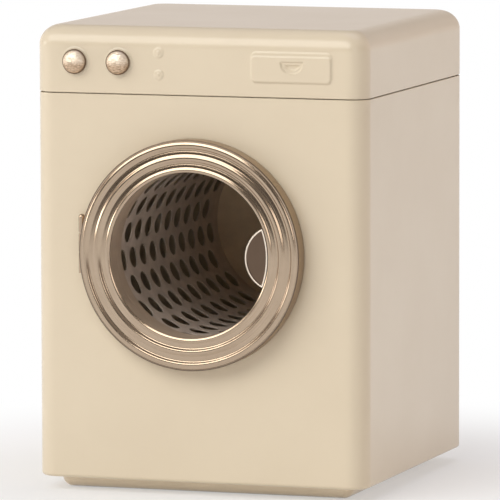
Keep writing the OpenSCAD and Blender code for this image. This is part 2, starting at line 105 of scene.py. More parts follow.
def make_piece(name, verts, faces, merge=0.002 * MM):
    """A mesh object with merged points, outward faces and smooth shading up to a sharp angle."""
    mesh = bpy.data.meshes.new(name)
    mesh.from_pydata([tuple(v) for v in verts], [], faces)
    work = bmesh.new()
    work.from_mesh(mesh)
    bmesh.ops.remove_doubles(work, verts=work.verts, dist=merge)
    bmesh.ops.dissolve_degenerate(work, edges=work.edges, dist=merge / 4)
    bmesh.ops.recalc_face_normals(work, faces=work.faces)
    finish_mesh(work, mesh)
    piece = bpy.data.objects.new(name, mesh)
    bpy.context.scene.collection.objects.link(piece)
    return piece


def finish_mesh(work, mesh):
    """Writes a bmesh back, smooth but for its sharp edges."""
    for face in work.faces:
        face.smooth = True
    for edge in work.edges:
        edge.smooth = len(edge.link_faces) < 2 or edge.calc_face_angle(0) < SHARP_ANGLE
    work.to_mesh(mesh)
    work.free()


def join_rings(rings, closed=True):
    """Faces between rings of equal length, each ring a range of point numbers."""
    faces = []
    for lower, upper in zip(rings, rings[1:]):
        count = len(lower)
        for i in range(count if closed else count - 1):
            j = (i + 1) % count
            faces.append((lower[i], lower[j], upper[j], upper[i]))
    return faces


def arc(cx, cy, radius, start, end, steps):
    """Points on an arc, angles in degrees."""
    points = []
    for k in range(steps + 1):
        angle = math.radians(start + (end - start) * k / steps)
        points.append((cx + radius * math.cos(angle), cy + radius * math.sin(angle)))
    return points


def lathe(name, profile, steps, centre=None, closed=True):
    """Turns a profile of (radius, distance out of the front) round the door's axis."""
    cx, cz = centre or (DOOR_X, DOOR_Z)
    verts = []
    rings = []
    for k in range(steps):
        angle = 2 * math.pi * k / steps
        rings.append(range(len(verts), len(verts) + len(profile)))
        for radius, out in profile:
            verts.append((cx + radius * math.cos(angle), FRONT_Y - out, cz + radius * math.sin(angle)))
    rings.append(rings[0])
    return make_piece(name, verts, join_rings(rings, closed))


def apply_modifiers(piece):
    """Bakes the live modifiers into the mesh, and leaves none."""
    graph = bpy.context.evaluated_depsgraph_get()
    mesh = bpy.data.meshes.new_from_object(piece.evaluated_get(graph))
    piece.modifiers.clear()
    piece.data = mesh
    return piece


def resharpen(piece):
    """Marks sharp edges again after a modifier has changed the mesh."""
    work = bmesh.new()
    work.from_mesh(piece.data)
    finish_mesh(work, piece.data)


def thicken(piece, thickness, offset=-1.0):
    """Gives an open sheet its thickness, inwards by default."""
    solid = piece.modifiers.new("sheet", "SOLIDIFY")
    solid.thickness = thickness
    solid.offset = offset
    solid.use_even_offset = True
    apply_modifiers(piece)
    resharpen(piece)


def face_outwards(piece, middle):
    """Flips an open sheet if most of it faces towards its middle."""
    lean = sum((p.center - middle).dot(p.normal) * p.area for p in piece.data.polygons)
    if lean < 0:
        piece.data.flip_normals()


def triangles(piece):
    return sum(len(p.vertices) - 2 for p in piece.data.polygons)


print("mesh helpers ready")

# %% [markdown]
# ## Shader groups
# Several finishes share the same small effects: a colour that drifts between two tones, a surface
# that is not quite flat, and the fine rings that turning leaves. Each is a node group with named
# inputs, so that enamel, plating and plain steel use one recipe with their own values.

# %% Group helper
def new_group(name, inputs, outputs):
    """A shader node group with float, colour or vector sockets, and its in and out nodes."""
    group = bpy.data.node_groups.new(name, "ShaderNodeTree")
    for label, kind, value in inputs:
        socket = group.interface.new_socket(label, in_out="INPUT", socket_type="NodeSocket" + kind)
        if value is not None:
            socket.default_value = value
    for label, kind in outputs:
        group.interface.new_socket(label, in_out="OUTPUT", socket_type="NodeSocket" + kind)
    return group, group.nodes.new("NodeGroupInput"), group.nodes.new("NodeGroupOutput")


def add_node(tree, kind, **values):
    """Adds a node; plain names set its properties, numbered ones (in0, in1) its inputs."""
    node = tree.nodes.new(kind)
    for key, value in values.items():
        if key.startswith("in") and key[2:].isdigit():
            node.inputs[int(key[2:])].default_value = value
        else:
            setattr(node, key, value)
    return node


# %% Group: two tones that drift into each other
def build_two_tone():
    group, entry, leave = new_group(
        "two_tone",
        [("Vector", "Vector", None), ("Scale", "Float", 100.0), ("Contrast", "Float", 0.5),
         ("Light Tone", "Color", (1, 1, 1, 1)), ("Dark Tone", "Color", (0, 0, 0, 1))],
        [("Color", "Color"), ("Mask", "Float")])
    link = group.links.new
    cloud = add_node(group, "ShaderNodeTexNoise", in3=4.0, in4=0.55)
    link(entry.outputs["Vector"], cloud.inputs["Vector"])
    link(entry.outputs["Scale"], cloud.inputs["Scale"])
    centred = add_node(group, "ShaderNodeMath", operation="SUBTRACT", in1=0.5)
    link(cloud.outputs["Fac"], centred.inputs[0])
    spread = add_node(group, "ShaderNodeMath", operation="MULTIPLY_ADD", use_clamp=True, in2=0.5)
    link(centred.outputs[0], spread.inputs[0])
    link(entry.outputs["Contrast"], spread.inputs[1])
    blend = add_node(group, "ShaderNodeMix", data_type="RGBA")
    link(spread.outputs[0], blend.inputs["Factor"])
    link(entry.outputs["Dark Tone"], blend.inputs[6])
    link(entry.outputs["Light Tone"], blend.inputs[7])
    link(blend.outputs[2], leave.inputs["Color"])
    link(spread.outputs[0], leave.inputs["Mask"])
    return group


two_tone = build_two_tone()
print("group:", two_tone.name)


# %% Group: a surface that is not quite flat
def build_ripple():
    group, entry, leave = new_group(
        "ripple",
        [("Vector", "Vector", None), ("Coarse Scale", "Float", 100.0), ("Fine Scale", "Float", 1000.0),
         ("Fine Share", "Float", 0.3)],
        [("Height", "Float")])
    link = group.links.new
    layers = []
    for label in ("Coarse Scale", "Fine Scale"):
        layer = add_node(group, "ShaderNodeTexNoise", in3=2.0, in4=0.5)
        link(entry.outputs["Vector"], layer.inputs["Vector"])
        link(entry.outputs[label], layer.inputs["Scale"])
        layers.append(layer)
    blend = add_node(group, "ShaderNodeMix", data_type="FLOAT")
    link(entry.outputs["Fine Share"], blend.inputs["Factor"])
    link(layers[0].outputs["Fac"], blend.inputs[2])
    link(layers[1].outputs["Fac"], blend.inputs[3])
    link(blend.outputs[0], leave.inputs["Height"])
    return group


ripple = build_ripple()
print("group:", ripple.name)


# %% Group: fine rings left by turning
def build_turned():
    group, entry, leave = new_group(
        "turned",
        [("Vector", "Vector", None), ("Scale", "Float", 1000.0), ("Waver", "Float", 0.2)],
        [("Height", "Float")])
    link = group.links.new
    split = add_node(group, "ShaderNodeSeparateXYZ")
    link(entry.outputs["Vector"], split.inputs[0])
    flat = add_node(group, "ShaderNodeCombineXYZ")
    link(split.outputs["X"], flat.inputs["X"])
    link(split.outputs["Z"], flat.inputs["Y"])
    radius = add_node(group, "ShaderNodeVectorMath", operation="LENGTH")
    link(flat.outputs[0], radius.inputs[0])
    seed = add_node(group, "ShaderNodeCombineXYZ")
    link(radius.outputs["Value"], seed.inputs["X"])
    rings = add_node(group, "ShaderNodeTexNoise", in3=2.0, in4=0.5)
    link(seed.outputs[0], rings.inputs["Vector"])
    link(entry.outputs["Scale"], rings.inputs["Scale"])
    cloud = add_node(group, "ShaderNodeTexNoise", in2=5000.0, in3=2.0)
    link(entry.outputs["Vector"], cloud.inputs["Vector"])
    blend = add_node(group, "ShaderNodeMix", data_type="FLOAT")
    link(entry.outputs["Waver"], blend.inputs["Factor"])
    link(rings.outputs["Fac"], blend.inputs[2])
    link(cloud.outputs["Fac"], blend.inputs[3])
    link(blend.outputs[0], leave.inputs["Height"])
    return group


turned = build_turned()
print("group:", turned.name)

# %% [markdown]
# ## Finishes
# The sheet metal is stove enamelled: a semi-gloss cream with a faint orange peel, which shows only
# where a highlight crosses it. The door and the knobs are plated in a warm champagne tone, and the
# drum is dull plated sheet with a patchy, slightly oxidised surface. Colours are written as linear
# values. Roughness differs from place to place through the same masks that move the colour.

# %% Material helpers
def new_material(name, roughness, metallic=0.0):
    """A node material with Object coordinates, and its parts."""
    material = bpy.data.materials.new(name)
    material.use_nodes = True
    tree = material.node_tree
    shader = tree.nodes["Principled BSDF"]
    shader.inputs["Roughness"].default_value = roughness
    shader.inputs["Metallic"].default_value = metallic
    coords = tree.nodes.new("ShaderNodeTexCoord")
    return material, tree, shader, coords.outputs["Object"]


def add_group(tree, group, vector, **values):
    node = tree.nodes.new("ShaderNodeGroup")
    node.node_tree = group
    tree.links.new(vector, node.inputs["Vector"])
    for key, value in values.items():
        node.inputs[key.replace("_", " ").title()].default_value = value
    return node


def add_tones(tree, shader, vector, light, dark, scale, contrast):
    """Drives the base colour between two tones and returns the mask."""
    tones = add_group(tree, two_tone, vector, scale=scale, contrast=contrast,
                      light_tone=(*light, 1), dark_tone=(*dark, 1))
    tree.links.new(tones.outputs["Color"], shader.inputs["Base Color"])
    return tones.outputs["Mask"]


def add_roughness(tree, shader, mask, low, high):
    spread = add_node(tree, "ShaderNodeMapRange", in3=low, in4=high)
    tree.links.new(mask, spread.inputs["Value"])
    tree.links.new(spread.outputs["Result"], shader.inputs["Roughness"])


def add_bump(tree, shader, height, distance, strength=1.0):
    bump = add_node(tree, "ShaderNodeBump")
    bump.inputs["Strength"].default_value = strength
    bump.inputs["Distance"].default_value = distance
    tree.links.new(height, bump.inputs["Height"])
    tree.links.new(bump.outputs["Normal"], shader.inputs["Normal"])


def centred_on_door(tree, vector):
    """Moves the coordinates so that the door's axis is at zero."""
    mapping = add_node(tree, "ShaderNodeMapping")
    mapping.inputs["Location"].default_value = (-DOOR_X, 0, -DOOR_Z)
    tree.links.new(vector, mapping.inputs["Vector"])
    return mapping.outputs["Vector"]


# %% Enamel
CREAM_LIGHT = (0.732, 0.646, 0.500)
CREAM_DARK = (0.698, 0.611, 0.469)


def build_enamel(name, light, dark):
    material, tree, shader, place = new_material(name, 0.4)
    shader.inputs["Specular IOR Level"].default_value = 0.25
    shader.inputs["Coat Weight"].default_value = 0.55
    shader.inputs["Coat Roughness"].default_value = 0.05
    mask = add_tones(tree, shader, place, light, dark, 45.0, 1.6)
    add_roughness(tree, shader, mask, 0.4, 0.32)
    peel = add_group(tree, ripple, place, coarse_scale=260.0, fine_scale=1500.0, fine_share=0.25)
    add_bump(tree, shader, peel.outputs["Height"], 0.02 * MM)
    return material


enamel = build_enamel("cream_enamel", CREAM_LIGHT, CREAM_DARK)
# A lighter copy of the cream for the base pan: painted light on the recessed strip under the front.
lit_base_enamel = build_enamel("lit_base_enamel", (0.93, 0.83, 0.68), (0.90, 0.79, 0.63))
print("finishes:", enamel.name, lit_base_enamel.name)


# %% Plated and plain metals
def build_turned_metal(name, light, dark, rough, spread):
    """Plating over a turned or spun part: fine rings about the door's axis, dull and bright."""
    material, tree, shader, place = new_material(name, rough, metallic=1.0)
    add_tones(tree, shader, place, light, dark, 160.0, 1.8)
    shader.inputs["Coat Weight"].default_value = 0.8
    shader.inputs["Coat Roughness"].default_value = 0.12
    lines = add_group(tree, turned, centred_on_door(tree, place), scale=4200.0, waver=0.35)
    sheen = add_node(tree, "ShaderNodeMapRange", in1=0.35, in2=0.65, in3=rough - spread,
                     in4=rough + spread)
    tree.links.new(lines.outputs["Height"], sheen.inputs["Value"])
    tree.links.new(sheen.outputs["Result"], shader.inputs["Roughness"])
    return material


def build_hammered_metal(centres, radius):
    """Golden brass, wrinkled all over; painted light makes it lighter above and shaded round the edge.
    """
    material, tree, shader, place = new_material("hammered_brass", 0.38, metallic=0.85)
    stretch = add_node(tree, "ShaderNodeMapping")
    stretch.inputs["Scale"].default_value = (0.5, 1, 1.2)
    tree.links.new(place, stretch.inputs["Vector"])
    # Painted light: lit, pale tones for the upper half of each knob, and darker, shaded tones for the
    # lower half.
    upper = add_group(tree, two_tone, stretch.outputs["Vector"], scale=2600.0, contrast=2.6,
                      light_tone=(1.0, 0.90, 0.76, 1), dark_tone=(0.82, 0.66, 0.50, 1))
    lower = add_group(tree, two_tone, stretch.outputs["Vector"], scale=2600.0, contrast=2.6,
                      light_tone=(0.82, 0.62, 0.44, 1), dark_tone=(0.34, 0.23, 0.15, 1))
    split = add_node(tree, "ShaderNodeSeparateXYZ")
    tree.links.new(place, split.inputs[0])
    middle = centres[0][1]
    # Painted light: going up through the knobs' middle, the colour passes from the shaded tones to the
    # lit ones.
    height = add_node(tree, "ShaderNodeMapRange", interpolation_type="SMOOTHSTEP",
                      in1=middle - 1.0 * MM, in2=middle + 0.7 * MM)
    tree.links.new(split.outputs["Z"], height.inputs["Value"])
    tone = add_node(tree, "ShaderNodeMix", data_type="RGBA")
    tree.links.new(height.outputs["Result"], tone.inputs["Factor"])
    tree.links.new(lower.outputs["Color"], tone.inputs[6])
    tree.links.new(upper.outputs["Color"], tone.inputs[7])
    nearest = add_node(tree, "ShaderNodeMath", operation="MINIMUM")
    flat = add_node(tree, "ShaderNodeVectorMath", operation="MULTIPLY", in1=(1, 0, 1))
    tree.links.new(place, flat.inputs[0])
    for socket, (cx, cz) in zip(nearest.inputs, centres):
        reach = add_node(tree, "ShaderNodeVectorMath", operation="DISTANCE", in1=(cx, 0, cz))
        tree.links.new(flat.outputs[0], reach.inputs[0])
        tree.links.new(reach.outputs["Value"], socket)
    # Painted shade: towards each knob's edge the colour is mixed into a near-black brown.
    edge = add_node(tree, "ShaderNodeMapRange", interpolation_type="SMOOTHSTEP",
                    in1=radius - 0.46 * MM, in2=radius - 0.12 * MM)
    tree.links.new(nearest.outputs[0], edge.inputs["Value"])
    blend = add_node(tree, "ShaderNodeMix", data_type="RGBA")
    blend.inputs[7].default_value = (0.16, 0.10, 0.06, 1)
    tree.links.new(edge.outputs["Result"], blend.inputs["Factor"])
    tree.links.new(tone.outputs[2], blend.inputs[6])
    tree.links.new(blend.outputs[2], shader.inputs["Base Color"])
    add_roughness(tree, shader, upper.outputs["Mask"], 0.5, 0.32)
    grain = add_group(tree, ripple, stretch.outputs["Vector"], coarse_scale=2300.0,
                      fine_scale=5200.0, fine_share=0.35)
    add_bump(tree, shader, grain.outputs["Height"], 0.2 * MM)
    return material


def build_rolled_metal(name, light, dark, rough, scale, contrast, dent, metallic=1.0, waves=350.0):
    """Sheet or drawn metal with a patchy surface and a slight unevenness."""
    material, tree, shader, place = new_material(name, rough, metallic)
    mask = add_tones(tree, shader, place, light, dark, scale, contrast)
    add_roughness(tree, shader, mask, rough - 0.06, rough + 0.1)
    dents = add_group(tree, ripple, place, coarse_scale=waves, fine_scale=7.5 * waves, fine_share=0.35)
    add_bump(tree, shader, dents.outputs["Height"], dent)
    return material


champagne = build_turned_metal("champagne_plate", (0.49, 0.372, 0.263), (0.43, 0.322, 0.224),
                               0.18, 0.04)
knobs = {name: box(name) for name in ("knob_left", "knob_right")}
knob_places = [((low.x + high.x) / 2, (low.z + high.z) / 2) for low, high in knobs.values()]
knob_metal = build_hammered_metal([(x + 0.12 * MM, z) for x, z in knob_places], 2.8 * MM)
# Painted highlight: a pale copy of the plating, put on the tab's rim so that it reads as bright lines.
rim_highlight_metal = build_rolled_metal("polished_edge", (0.95, 0.86, 0.74), (0.90, 0.80, 0.68),
                                0.4, 500.0, 1.5, 0.002 * MM, metallic=0.7)
drum_metal = build_rolled_metal("drum_plate", (0.79, 0.685, 0.605), (0.58, 0.50, 0.435),
                                0.45, 240.0, 2.4, 0.02 * MM, metallic=0.2)
back_metal = build_rolled_metal("drum_cap_plate", (0.94, 0.76, 0.52), (0.74, 0.59, 0.40),
                                0.45, 160.0, 2.0, 0.02 * MM, metallic=0.2)
# A duller satin metal for the cabinet's collar and the ring's lip, darker and browner than the cream
# enamel:
# partly a real duller finish and partly painted shade inside the opening.
collar_satin_and_shade = build_rolled_metal("satin_collar_with_shade", (0.66, 0.53, 0.41), (0.53, 0.42, 0.32),
                                  0.5, 260.0, 1.8, 0.01 * MM, metallic=0.3)
# Painted shade: a near-black copy of the plating for the dark line round the door ring's outer edge.
rim_shade_metal = build_rolled_metal("painted_rim_shade", (0.22, 0.165, 0.12), (0.15, 0.11, 0.08),
                                0.42, 400.0, 1.6, 0.004 * MM)
wall_metal = build_rolled_metal("brushed_wall", (0.48, 0.37, 0.268), (0.41, 0.315, 0.225),
                                0.3, 300.0, 1.6, 0.003 * MM)
steel = build_rolled_metal("bright_steel", (0.55, 0.53, 0.5), (0.42, 0.4, 0.38),
                           0.3, 500.0, 1.6, 0.01 * MM)
# Painted shade: the tab is the ring's plating, made about three times darker for the dark reflection on
# its face.
shaded_tab_metal = build_rolled_metal("satin_tab", (0.165, 0.113, 0.08), (0.15, 0.102, 0.072),
                               0.2, 300.0, 1.2, 0.0012 * MM)
print("finishes:", [m.name for m in (champagne, knob_metal, drum_metal, back_metal, collar_satin_and_shade,
                                     steel, rim_highlight_metal, shaded_tab_metal, rim_shade_metal, wall_metal)])


def dress(piece, material):
    piece.data.materials.clear()
    piece.data.materials.append(material)


def dress_part(piece, material, wanted):
    """Gives the faces whose middle passes a test a second finish; returns how many."""
    piece.data.materials.append(material)
    slot = len(piece.data.materials) - 1
    chosen = [face for face in piece.data.polygons if wanted(face.center)]
    for face in chosen:
        face.material_index = slot
    return len(chosen)


def from_door(place):
    """Distance from the door's axis and distance out from the front."""
    return math.hypot(place.x - DOOR_X, place.z - DOOR_Z), FRONT_Y - place.y

# %% [markdown]
# ## The pressed lid
# The lid is drawn from one sheet: a shallow pan turned upside down, with soft edges. The press also
# raises a round seat for each knob, two dimples, and a drawer front in two low steps with a
# half-round finger recess. A dense grid on the front, moved by one height formula, gives these the
# rolled edges that pressing leaves. Cut shapes would have hard lines that enamel never shows.

# %% Sizes of the pressed forms
LID_CORNER_R = 4.3 * MM
LID_TOP_R = 4.5 * MM
TOP_CORNER_R = 2.2 * MM
SKIRT_ROLL = 0.18 * MM
PRESS_STEP = 0.18 * MM
KNOB_SEAT_R = 3.2 * MM
SEAT_RISE = 0.16 * MM
DIMPLE_R = 1.08 * MM
DIMPLE_RISE = 0.2 * MM
DIMPLE_DOME_R = 0.65 * MM
DIMPLE_DOME_RISE = 0.18 * MM
DRAWER_HALF = Vector((9.42, 3.42)) * MM
DRAWER_CORNER = 1.3 * MM
DRAWER_RISE = 0.22 * MM
DRAWER_LEDGE = 0.2 * MM
DRAWER_TOP_LEDGE = 0.95 * MM
RECESS_R = 2.6 * MM
RECESS_DROP = 0.35 * MM
EDGE_ROLL = 0.34 * MM

dimple_places = [(-9.35 * MM, SEAM_Z + 4.6 * MM), (-9.35 * MM, SEAM_Z + 9.55 * MM)]
drawer_place = Vector((HALF_W - 17.12 * MM, SEAM_Z + 6.85 * MM))
recess_place = drawer_place + Vector((0.2 * MM, 1.3 * MM))
print("knobs at", [(round(1000 * x, 2), round(1000 * z, 2)) for x, z in knob_places])


# %% Height formula of the front
def inside(distance, roll=EDGE_ROLL):
    """1 within an outline and 0 beyond it, rolled over at its edge."""
    return ease(0.5 - distance / roll)


def box_distance(x, z, centre, half, radius):
    """Signed distance to a rectangle with round corners."""
    dx = abs(x - centre.x) - half.x + radius
    dz = abs(z - centre.y) - half.y + radius
    outer = math.hypot(max(dx, 0), max(dz, 0))
    return outer + min(max(dx, dz), 0) - radius


def moon_distance(x, z):
    """Signed distance to the half-round recess, flat side up."""
    below = z - recess_place.y
    round_part = math.hypot(x - recess_place.x, z - recess_place.y) - RECESS_R
    return max(below, round_part)


def press_height(x, z):
    """How far the sheet stands out of the lid's front at a place."""
    height = 0
    for kx, kz in knob_places:
        height += SEAT_RISE * inside(math.hypot(x - kx, z - kz) - KNOB_SEAT_R)
    for dx, dz in dimple_places:
        off = math.hypot(x - dx, z - dz)
        height += DIMPLE_RISE * inside(off - DIMPLE_R)
        height += DIMPLE_DOME_RISE * ease(1.2 * (1 - off / DIMPLE_DOME_R))
    height += DRAWER_RISE * inside(box_distance(x, z, drawer_place, DRAWER_HALF, DRAWER_CORNER))
    drop = (DRAWER_TOP_LEDGE - DRAWER_LEDGE) / 2
    face_half = DRAWER_HALF - Vector((DRAWER_LEDGE, DRAWER_LEDGE + drop))
    height += DRAWER_RISE * inside(box_distance(x, z, drawer_place - Vector((0, drop)), face_half,
                                                DRAWER_CORNER - 0.4 * MM))
    recess = moon_distance(x, z)
    height -= RECESS_DROP * (inside(recess) + inside(recess + 0.75 * MM))
    return height


# %% Rounded rectangle rings
CORNER_STEPS = 10


def steps_between(start, end, size):
    """Evenly spaced values from start to just before end, about size apart."""
    count = max(1, round((end - start) / size))
    return [start + (end - start) * k / count for k in range(count)]


def box_ring(inset, corner_r, front_xs):
    """Anticlockwise points of the cabinet's outline, moved in by inset.

    Each flat side has a point close to the corner, which keeps its shading flat."""
    run = HALF_W - inset - corner_r
    side = HALF_D - inset - corner_r
    near = min(0.4 * MM, side / 4)
    points = [(x / front_xs[-1] * run, -HALF_D + inset) for x in front_xs]
    points += arc(run, -side, corner_r, -90, 0, CORNER_STEPS)[1:]
    points += [(HALF_W - inset, -side + near), (HALF_W - inset, side - near)]
    points += arc(run, side, corner_r, 0, 90, CORNER_STEPS)
    points += [(run - near, HALF_D - inset), (-run + near, HALF_D - inset)]
    points += arc(-run, side, corner_r, 90, 180, CORNER_STEPS)
    points += [(-HALF_W + inset, side - near), (-HALF_W + inset, -side + near)]
    points += arc(-run, -side, corner_r, 180, 270, CORNER_STEPS)[:-1]
    return points


# %% The lid's mesh
def lid_profile():
    """Rings of the lid from its skirt to its flat top: inset, height and corner radius."""
    low = lid_low.z
    top = lid_high.z
    rings = []
    for k in range(5):
        angle = math.radians(90 - 22.5 * k)
        rings.append((SKIRT_ROLL * (1 - math.cos(angle)), low + SKIRT_ROLL * (1 - math.sin(angle)),
                      LID_CORNER_R))
    arc_start = top - LID_TOP_R
    rings += [(0, z, LID_CORNER_R) for z in steps_between(low + 2 * SKIRT_ROLL, arc_start, PRESS_STEP)]
    arc_steps = 24
    for k in range(arc_steps + 1):
        angle = math.pi / 2 * k / arc_steps
        inset = LID_TOP_R * (1 - math.cos(angle))
        corner = LID_CORNER_R + (TOP_CORNER_R - LID_CORNER_R) * inset / LID_TOP_R
        rings.append((inset, arc_start + LID_TOP_R * math.sin(angle), corner))
    rings += [(inset, top, TOP_CORNER_R) for inset in (LID_TOP_R + 0.5 * MM, 12 * MM)]
    return rings


def front_positions(half_run):
    """Dense where the front is pressed and sparse between."""
    features = [(knob_places[0][0] - 4.2 * MM, knob_places[1][0] + 4.2 * MM),
                (dimple_places[0][0] - 1.6 * MM, dimple_places[0][0] + 1.6 * MM),
                (drawer_place.x - DRAWER_HALF.x - 0.6 * MM, drawer_place.x + DRAWER_HALF.x + 0.6 * MM)]
    near = 0.4 * MM
    xs = [-half_run]
    reached = -half_run + near
    for start, end in features:
        xs += steps_between(reached, start, 3 * MM)
        xs += steps_between(start, end, PRESS_STEP)
        reached = end
    return xs + steps_between(reached, half_run - near, 3 * MM) + [half_run - near, half_run]


def build_lid():
    xs = front_positions(HALF_W - LID_CORNER_R)
    verts = []
    rings = []
    for inset, z, corner in lid_profile():
        points = box_ring(inset, corner, xs)
        rings.append(range(len(verts), len(verts) + len(points)))
        for i, (x, y) in enumerate(points):
            raised = press_height(x, z) if i < len(xs) and inset < 0.4 * MM else 0
            verts.append((x, y - raised, z))
    faces = join_rings(rings) + [tuple(rings[-1])]
    lid = make_piece("pressed_lid", verts, faces)
    face_outwards(lid, Vector((0, 0, lid_low.z)))
    thicken(lid, SHEET)
    return lid


lid = build_lid()
dress(lid, enamel)
print("pressed lid:", triangles(lid), "triangles")

# %% [markdown]
# ## The wrapped cabinet
# The cabinet is a sheet bent round four soft corners. Its lower edge is turned in, its upper edge is
# rolled slightly inwards, and the front has a round hole whose edge is flanged inwards as a collar
# for the door. The wrap is again rings round a rounded rectangle. The hole is left out of the grid,
# and rows of faces lead from the square gap to the circle, all in one plane, so the front stays flat.

# %% Sizes of the cabinet
CABINET_CORNER_R = 4.4 * MM
HEEL_R = 0.8 * MM
FLANGE_INSET = 5.5 * MM
FLANGE_CORNER_R = 2.6 * MM
EDGE_TURN = 0.16 * MM
COLLAR_R = 18.75 * MM
COLLAR_LENGTH = 3.8 * MM
COLLAR_BEND = 0.6 * MM
PATCH_HALF = 27 * MM
PATCH_STEPS = 32
print("collar radius", round(1000 * COLLAR_R, 1), "mm")


# %% The cabinet's rings
def cabinet_columns(half_run):
    near = 0.4 * MM
    left = DOOR_X - PATCH_HALF
    right = DOOR_X + PATCH_HALF
    xs = [-half_run] + steps_between(-half_run + near, left, 3 * MM)
    first = len(xs)
    xs += steps_between(left, right, 2 * PATCH_HALF / PATCH_STEPS)
    return xs + steps_between(right, half_run - near, 3 * MM) + [half_run - near, half_run], first


def cabinet_profile():
    """Rings from the turned-in flange up to the rolled upper edge, and the patch's first row."""
    low = cab_low.z
    rings = [(FLANGE_INSET, low, FLANGE_CORNER_R), (HEEL_R + 0.4 * MM, low, CABINET_CORNER_R - HEEL_R)]
    for k in range(9):
        angle = math.pi / 2 * k / 8
        inset = HEEL_R * (1 - math.sin(angle))
        rings.append((inset, low + HEEL_R * (1 - math.cos(angle)), CABINET_CORNER_R - inset))
    rings += [(0, z, CABINET_CORNER_R) for z in
              [low + HEEL_R + 0.4 * MM] + steps_between(low + 5 * MM, DOOR_Z - PATCH_HALF, 6 * MM)]
    first = len(rings)
    rings += [(0, z, CABINET_CORNER_R) for z in
              steps_between(DOOR_Z - PATCH_HALF, DOOR_Z + PATCH_HALF, 2 * PATCH_HALF / PATCH_STEPS)]
    top = SEAM_Z - EDGE_TURN
    rings += [(0, z, CABINET_CORNER_R) for z in
              steps_between(DOOR_Z + PATCH_HALF, top - 0.3 * MM, 4 * MM) + [top - 0.3 * MM]]
    for k in range(6):
        angle = math.pi / 2 * k / 5
        rings.append((EDGE_TURN * (1 - math.cos(angle)), top + EDGE_TURN * math.sin(angle),
                      CABINET_CORNER_R - EDGE_TURN * (1 - math.cos(angle))))
    return rings, first


def collar_rings():
    """Radius and depth of the rings from the flat front to the collar's end."""
    bend_centre = COLLAR_R + COLLAR_BEND
    rings = [(bend_centre + 0.8 * MM, 0), (bend_centre + 0.3 * MM, 0)]
    for k in range(9):
        angle = math.pi / 2 * k / 8
        rings.append((bend_centre - COLLAR_BEND * math.sin(angle),
                      COLLAR_BEND * (1 - math.cos(angle))))
    return rings + [(COLLAR_R, COLLAR_BEND + 0.3 * MM), (COLLAR_R, COLLAR_LENGTH)]


def build_cabinet():
    xs, first_column = cabinet_columns(HALF_W - CABINET_CORNER_R)
    profile, first_row = cabinet_profile()
    verts = []
    rings = []
    for inset, z, corner in profile:
        points = box_ring(inset, corner, xs)
        rings.append(range(len(verts), len(verts) + len(points)))
        verts += [(x, y, z) for x, y in points]
    columns = range(first_column, first_column + PATCH_STEPS)
    rows = range(first_row, first_row + PATCH_STEPS)
    faces = []
    for row, (lower, upper) in enumerate(zip(rings, rings[1:])):
        count = len(lower)
        for i in range(count):
            if i in columns and row in rows:
                continue
            j = (i + 1) % count
            faces.append((lower[i], lower[j], upper[j], upper[i]))
    last_column = first_column + PATCH_STEPS
    last_row = first_row + PATCH_STEPS
    square = [rings[first_row][i] for i in columns]
    square += [rings[r][last_column] for r in rows]
    square += [rings[last_row][i] for i in range(last_column, first_column, -1)]
    square += [rings[r][first_column] for r in range(last_row, first_row, -1)]
    aims = [Vector((verts[v][0] - DOOR_X, verts[v][2] - DOOR_Z)).normalized() for v in square]
    hole = [square]
    for radius, depth in collar_rings():
        hole.append(range(len(verts), len(verts) + len(square)))
        verts += [(DOOR_X + aim.x * radius, FRONT_Y + depth, DOOR_Z + aim.y * radius)
                  for aim in aims]
    faces += join_rings(hole)
    cabinet = make_piece("wrapped_cabinet", verts, faces)
    face_outwards(cabinet, Vector((0, 0, SEAM_Z / 2)))
    thicken(cabinet, SHEET)
    return cabinet


cabinet = build_cabinet()
dress(cabinet, enamel)


COLLAR_START = 0.2 * MM


# The collar inside the opening, which takes the darker satin finish as painted shade.
def on_collar(place):
    radius, out = from_door(place)
    return (-COLLAR_LENGTH - SHEET < out < -COLLAR_START
            and radius < COLLAR_R + COLLAR_BEND + SHEET)


print("wrapped cabinet:", triangles(cabinet), "triangles,",
      dress_part(cabinet, collar_satin_and_shade, on_collar), "faces of the collar in bare metal")

# %% [markdown]
# ## The base pan
# The cabinet stands on a shallow pressed tray. It is seen only as a shaded strip below the front,
# so what counts is how far it is set back and the large radius of its lower edge. It is rings
# again, this time from its rim down round that radius and in along the bottom. It reaches a little
# further left and right than the solid it stands for. Its enamel is a lighter copy of the cream:
# painted light on the strip, which the lamps leave darker than the front.

# %% The base pan
PAN_LEFT = 3.6 * MM
PAN_RIGHT = 4.9 * MM
PAN_DEPTH = 5.5 * MM
PAN_CORNER_R = 2.4 * MM
PAN_EDGE_R = 2.5 * MM
PAN_TURN_IN = 12 * MM


def pan_ring(inset, z):
    """A rounded rectangle of the tray, moved in by inset."""
    r = max(PAN_CORNER_R - inset, 0.4 * MM)
    left = -HALF_W + PAN_LEFT + inset + r
    right = HALF_W - PAN_RIGHT - inset - r
    deep = HALF_D - PAN_DEPTH - inset - r
    points = arc(right, -deep, r, -90, 0, 8) + arc(right, deep, r, 0, 90, 8)
    points += arc(left, deep, r, 90, 180, 8) + arc(left, -deep, r, 180, 270, 8)
    return [(x, y, z) for x, y in points]


